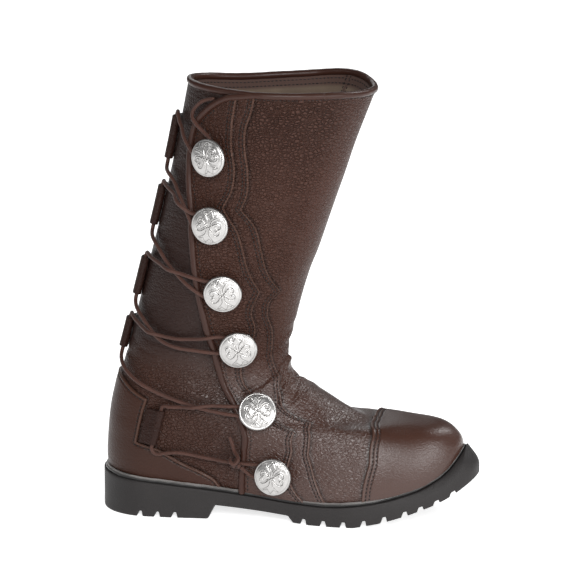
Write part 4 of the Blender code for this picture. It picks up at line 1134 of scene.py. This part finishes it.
def leather(name, tone, rough, shine):
    """Pebbled leather: grain by the piece's mark, wrinkled behind the wrap, with painted shade in the pebble hollows,
    at the foot of seams and on the back, paler on worn edges.
    """
    finish, tree, shader, where = start_finish(name)
    marks = {key: mark(tree, key) for key in ("grain", "rear", "wear", "seam", "flex", "gloss")}
    warp = noise(tree, where, WAVES["warp"], 2.0, "Color")
    warp = add(tree, "ShaderNodeVectorMath", {0: warp, "Scale": WARP_REACH}, operation="SCALE").outputs[0]
    bent = moved(tree, "ADD", where, warp)
    pebbles = {"Vector": moved(tree, "MULTIPLY", bent, PEBBLE_SHAPE), "Scale": WAVES["pebbles"]}
    cell = add(tree, "ShaderNodeTexVoronoi", pebbles, feature="DISTANCE_TO_EDGE").outputs["Distance"]
    hollow = plus(tree, 1.0, ranged(tree, cell, 0.0, 0.25), "SUBTRACT")
    fine = noise(tree, where, WAVES["fine"], 3.0)
    broad = noise(tree, where, WAVES["broad"], 3.0)
    warm = ranged(tree, noise(tree, where, WAVES["warm"], 2.0), 0.35, 0.7, 0.0, 0.5)
    patch = ranged(tree, noise(tree, where, WAVES["patch"], 2.0), 0.32, 0.66, 0.8, 1.0)
    wrinkle = noise(tree, moved(tree, "MULTIPLY", bent, WRINKLE_SHAPE), WAVES["wrinkle"], 3.0)
    lean = {"Vector": bent, "Rotation": (0.0, FLEX_LEAN, 0.0), "Scale": FLEX_SHAPE}
    along = add(tree, "ShaderNodeMapping", lean, vector_type="TEXTURE").outputs[0]
    flexed = times(tree, noise(tree, along, WAVES["flex"], 1.5), marks["flex"])
    valley = times(tree, hollow, times(tree, marks["grain"], patch))
    lines = times(tree, wrinkle, plus(tree, times(tree, marks["rear"], 0.7), 0.10))
    lines = plus(tree, lines, times(tree, flexed, 1.7))
    lift = plus(tree, plus(tree, times(tree, fine, 0.09), lines), valley, "SUBTRACT")
    bump = bumped(tree, 0.9, PEBBLE_DEPTH, lift)
    base = mixed(tree, broad, shaded(tone, 0.92), shaded(tone, 1.28))
    base = mixed(tree, warm, base, shaded((tone[0] * 1.28, tone[1] * 1.05, tone[2])))
    # Painted shade on the back of the shaft, the tabs and the counter, where they turn away from the lamps.
    base = mixed(tree, marks["rear"], base, shaded(REAR_SHADE_TONE))
    # Painted shade in the hollows between the pebbles.
    base = mixed(tree, times(tree, valley, 0.26), base, shaded(tone, 0.35))
    # Painted shade at the foot of sewn edges and in the sunk stitch rows.
    base = mixed(tree, times(tree, marks["seam"], 0.8), base, shaded(tone, 0.18))
    base = mixed(tree, times(tree, marks["wear"], 0.34), base, shaded(WORN_TONE))
    gloss = plus(tree, times(tree, fine, 0.14), times(tree, valley, 0.28))
    fill(tree, shader, {"Base Color": base, "Roughness": plus(tree, gloss, rough - 0.05), "Specular IOR Level": shine,
                        "Coat Weight": times(tree, marks["gloss"], POLISH), "Coat Roughness": rough,
                        "Normal": bump, "Coat Normal": bump})
    return finish


def rubber(name, tone, rough, bumps):
    """Moulded rubber with a fine uneven surface and a pale grey painted highlight where it is marked."""
    finish, tree, shader, where = start_finish(name)
    fine = noise(tree, where, 900.0, 4.0)
    broad = noise(tree, where, 45.0, 4.0)
    base = mixed(tree, broad, shaded(tone, 0.75), shaded(tone, 1.3))
    # Painted highlight along the welt's top, in the rows that carry the mark.
    glint_share = times(tree, mark(tree, "painted_glint"), ranged(tree, broad, 0.3, 0.6, 0.35, 1.0))
    fill(tree, shader, {"Base Color": mixed(tree, glint_share, base, shaded(WELT_GLINT_TONE)), "Specular IOR Level": 0.3,
                        "Roughness": plus(tree, times(tree, broad, 0.2), rough - 0.1),
                        "Normal": bumped(tree, bumps, 0.0003, plus(tree, fine, times(tree, broad, 1.5)))})
    return finish


def silver(name):
    """Antique silver, dark in the engraved lines."""
    finish, tree, shader, where = start_finish(name)
    broad = noise(tree, where, 260.0, 3.0)
    base = mixed(tree, broad, shaded(SILVER_TONES[0]), shaded(SILVER_TONES[1]))
    fill(tree, shader, {"Base Color": mixed(tree, mark(tree, "dark"), base, shaded(TARNISH_TONE)), "Metallic": 1.0,
                        "Roughness": plus(tree, times(tree, broad, 0.22), 0.24),
                        "Normal": bumped(tree, 0.25, 0.0003, broad)})
    return finish


def cord_finish(name, tone):
    """Soft round cord with a fine fibrous surface."""
    finish, tree, shader, where = start_finish(name)
    base = mixed(tree, noise(tree, where, 70.0, 2.0), shaded(tone, 0.7), shaded(tone, 1.35))
    fill(tree, shader, {"Base Color": base, "Roughness": 0.62, "Sheen Weight": 0.08, "Specular IOR Level": 0.3,
                        "Normal": bumped(tree, 0.6, 0.0004, noise(tree, where, 900.0, 3.0))})
    return finish


def lining_finish(name):
    """Suede lining, with a brown facing strip under the collar."""
    finish, tree, shader, where = start_finish(name)
    base = mixed(tree, noise(tree, where, 60.0, 5.0), shaded(SUEDE_TONES[0]), shaded(SUEDE_TONES[1]))
    fill(tree, shader, {"Base Color": mixed(tree, mark(tree, "strip"), base, shaded(STRIP_TONE)), "Roughness": 0.8,
                        "Sheen Weight": 0.1, "Normal": bumped(tree, 0.5, 0.0004, noise(tree, where, 1300.0, 3.0))})
    return finish


def aimed(name, data, spot):
    """Lamp or camera at a spot, turned toward the boot."""
    made = new_object(name, data)
    made.location = spot
    made.rotation_euler = (Vector(CAMERA_TARGET) - Vector(spot)).to_track_quat("-Z", "Y").to_euler()
    return made


def make_stage():
    """Pale floor, soft light and the camera at the photograph's angle."""
    mesh = bpy.data.meshes.new("floor")
    corners = [(x * FLOOR_REACH, y * FLOOR_REACH, 0.0) for x, y in ((-1, -1), (1, -1), (1, 1), (-1, 1))]
    mesh.from_pydata(corners, [], [(0, 1, 2, 3)])
    finish, tree, shader, _ = start_finish("floor")
    fill(tree, shader, {"Base Color": (0.92, 0.92, 0.92, 1.0), "Roughness": 0.9, "Specular IOR Level": 0.1,
                        "Emission Color": (1.0, 1.0, 1.0, 1.0), "Emission Strength": FLOOR_GLOW})
    mesh.materials.append(finish)
    new_object("floor", mesh)
    scene = bpy.context.scene
    scene.world = bpy.data.worlds.new("studio")
    scene.world.use_nodes = True
    tree = scene.world.node_tree
    fill(tree, tree.nodes["Background"], {"Color": (1.0, 1.0, 1.0, 1.0), "Strength": WORLD_LIGHT})
    scene.view_settings.view_transform = "Standard"
    for name, spot, size, power in LIGHTS:
        lamp = bpy.data.lights.new(name, "AREA")
        lamp.shape = "RECTANGLE"
        lamp.size, lamp.size_y = size
        lamp.energy = power
        aimed(name, lamp, spot)
    camera = bpy.data.cameras.new("camera")
    camera.lens = CAMERA_LENS
    camera.sensor_width = 36.0
    camera.clip_end = 100.0
    scene.camera = aimed("camera", camera, CAMERA_PLACE)


def make_overlays(brown, smooth_brown, thread):
    """Upper, facings, toe cap and counter with their rows of stitches."""
    toe = mirrored(through(TOE_LINE, LINE_STEP), 360.0)
    heel = mirrored(line(COUNTER_LINE, LINE_STEP), 0.0)
    narrow = line(NARROW_LINE, LINE_STEP)
    make_upper(brown, (toe, heel, line(WIDE_LINE, LINE_STEP)))
    rows = make_facing("wide_facing", WIDE_LINE, WIDE_TOP, 0.0, (narrow,), "facing_wide", brown)
    rows += make_facing("narrow_facing", NARROW_LINE, NARROW_TOP, WIDE_TOP, (), "facing_narrow", brown)
    make_patch("toe_leather", TOE_CENTRE, toe, CAP_TOP, CAP_ROWS, 0.10, 0.0, "toe_cap", smooth_brown)
    make_patch("counter_leather", HEEL_CENTRE, heel, COUNTER_TOP, (COUNTER_ROW,), 0.15, 0.3, "heel_counter",
               smooth_brown)
    level = np.linspace(0.6, 15.7, 400)
    edge = wrap_edge(level)
    rim = np.linspace(72.0, 300.0, 400)
    inside = np.linspace(0.0, 360.0, 500)
    shaft = np.linspace(13.5, 15.95, 200)
    rows += [(level, edge + 2.4 / arc(level, edge), NARROW_TOP)]
    rows += [(*inward_row(toe, TOE_CENTRE, inset), CAP_TOP - STITCH_SINK) for inset in CAP_ROWS]
    rows += [(*inward_row(heel, HEEL_CENTRE, COUNTER_ROW), COUNTER_TOP - STITCH_SINK)]
    rows += [(np.full_like(rim, RIM_ROW), rim, 0.1)]
    rows += [(np.full_like(inside, row), inside, -WALL) for row in STRIP_ROWS]
    rows += [(shaft, np.full_like(shaft, angle), -LINING_DEPTH) for angle in LINING_ROWS]
    make_stitches(rows, thread)


def build(frame):
    """Make every piece of the boot and its stage."""
    make_stage()
    brown = leather("brown_leather", LEATHER_TONE, 0.38, 0.16)
    smooth_brown = leather("smooth_leather", LEATHER_TONE, 0.36, 0.14)
    rolled = leather("edge_leather", EDGE_TONE, 0.34, 0.24)
    metal = silver("antique_silver")
    make_overlays(brown, smooth_brown, cord_finish("thread", THREAD_TONE))
    make_lining(lining_finish("lining"))
    make_lace(cord_finish("cord", CORD_TONE))
    make_rolls(rolled)
    for number in range(len(BUTTON_LEVEL)):
        make_button(number, metal)
    for number in range(len(TAB_LOW)):
        make_tab(number, smooth_brown)
    make_outsole(rubber("sole_rubber", RUBBER_TONE, 0.58, 0.9))
    make_welt(rubber("welt_rubber", WELT_TONE, 0.30, 0.2))
    frame["nodes"]["insole"].data.materials.clear()
    frame["nodes"]["insole"].data.materials.append(lining_finish("insole_board"))


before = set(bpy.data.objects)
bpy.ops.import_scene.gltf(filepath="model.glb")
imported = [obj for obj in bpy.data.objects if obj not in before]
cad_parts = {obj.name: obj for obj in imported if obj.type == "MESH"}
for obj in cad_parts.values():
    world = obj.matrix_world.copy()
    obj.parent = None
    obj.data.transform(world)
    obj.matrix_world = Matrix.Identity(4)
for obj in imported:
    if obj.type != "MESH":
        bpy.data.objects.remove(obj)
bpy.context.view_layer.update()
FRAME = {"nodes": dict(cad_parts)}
CREASE_PATHS = crease_paths()
build(FRAME)
bpy.context.view_layer.update()
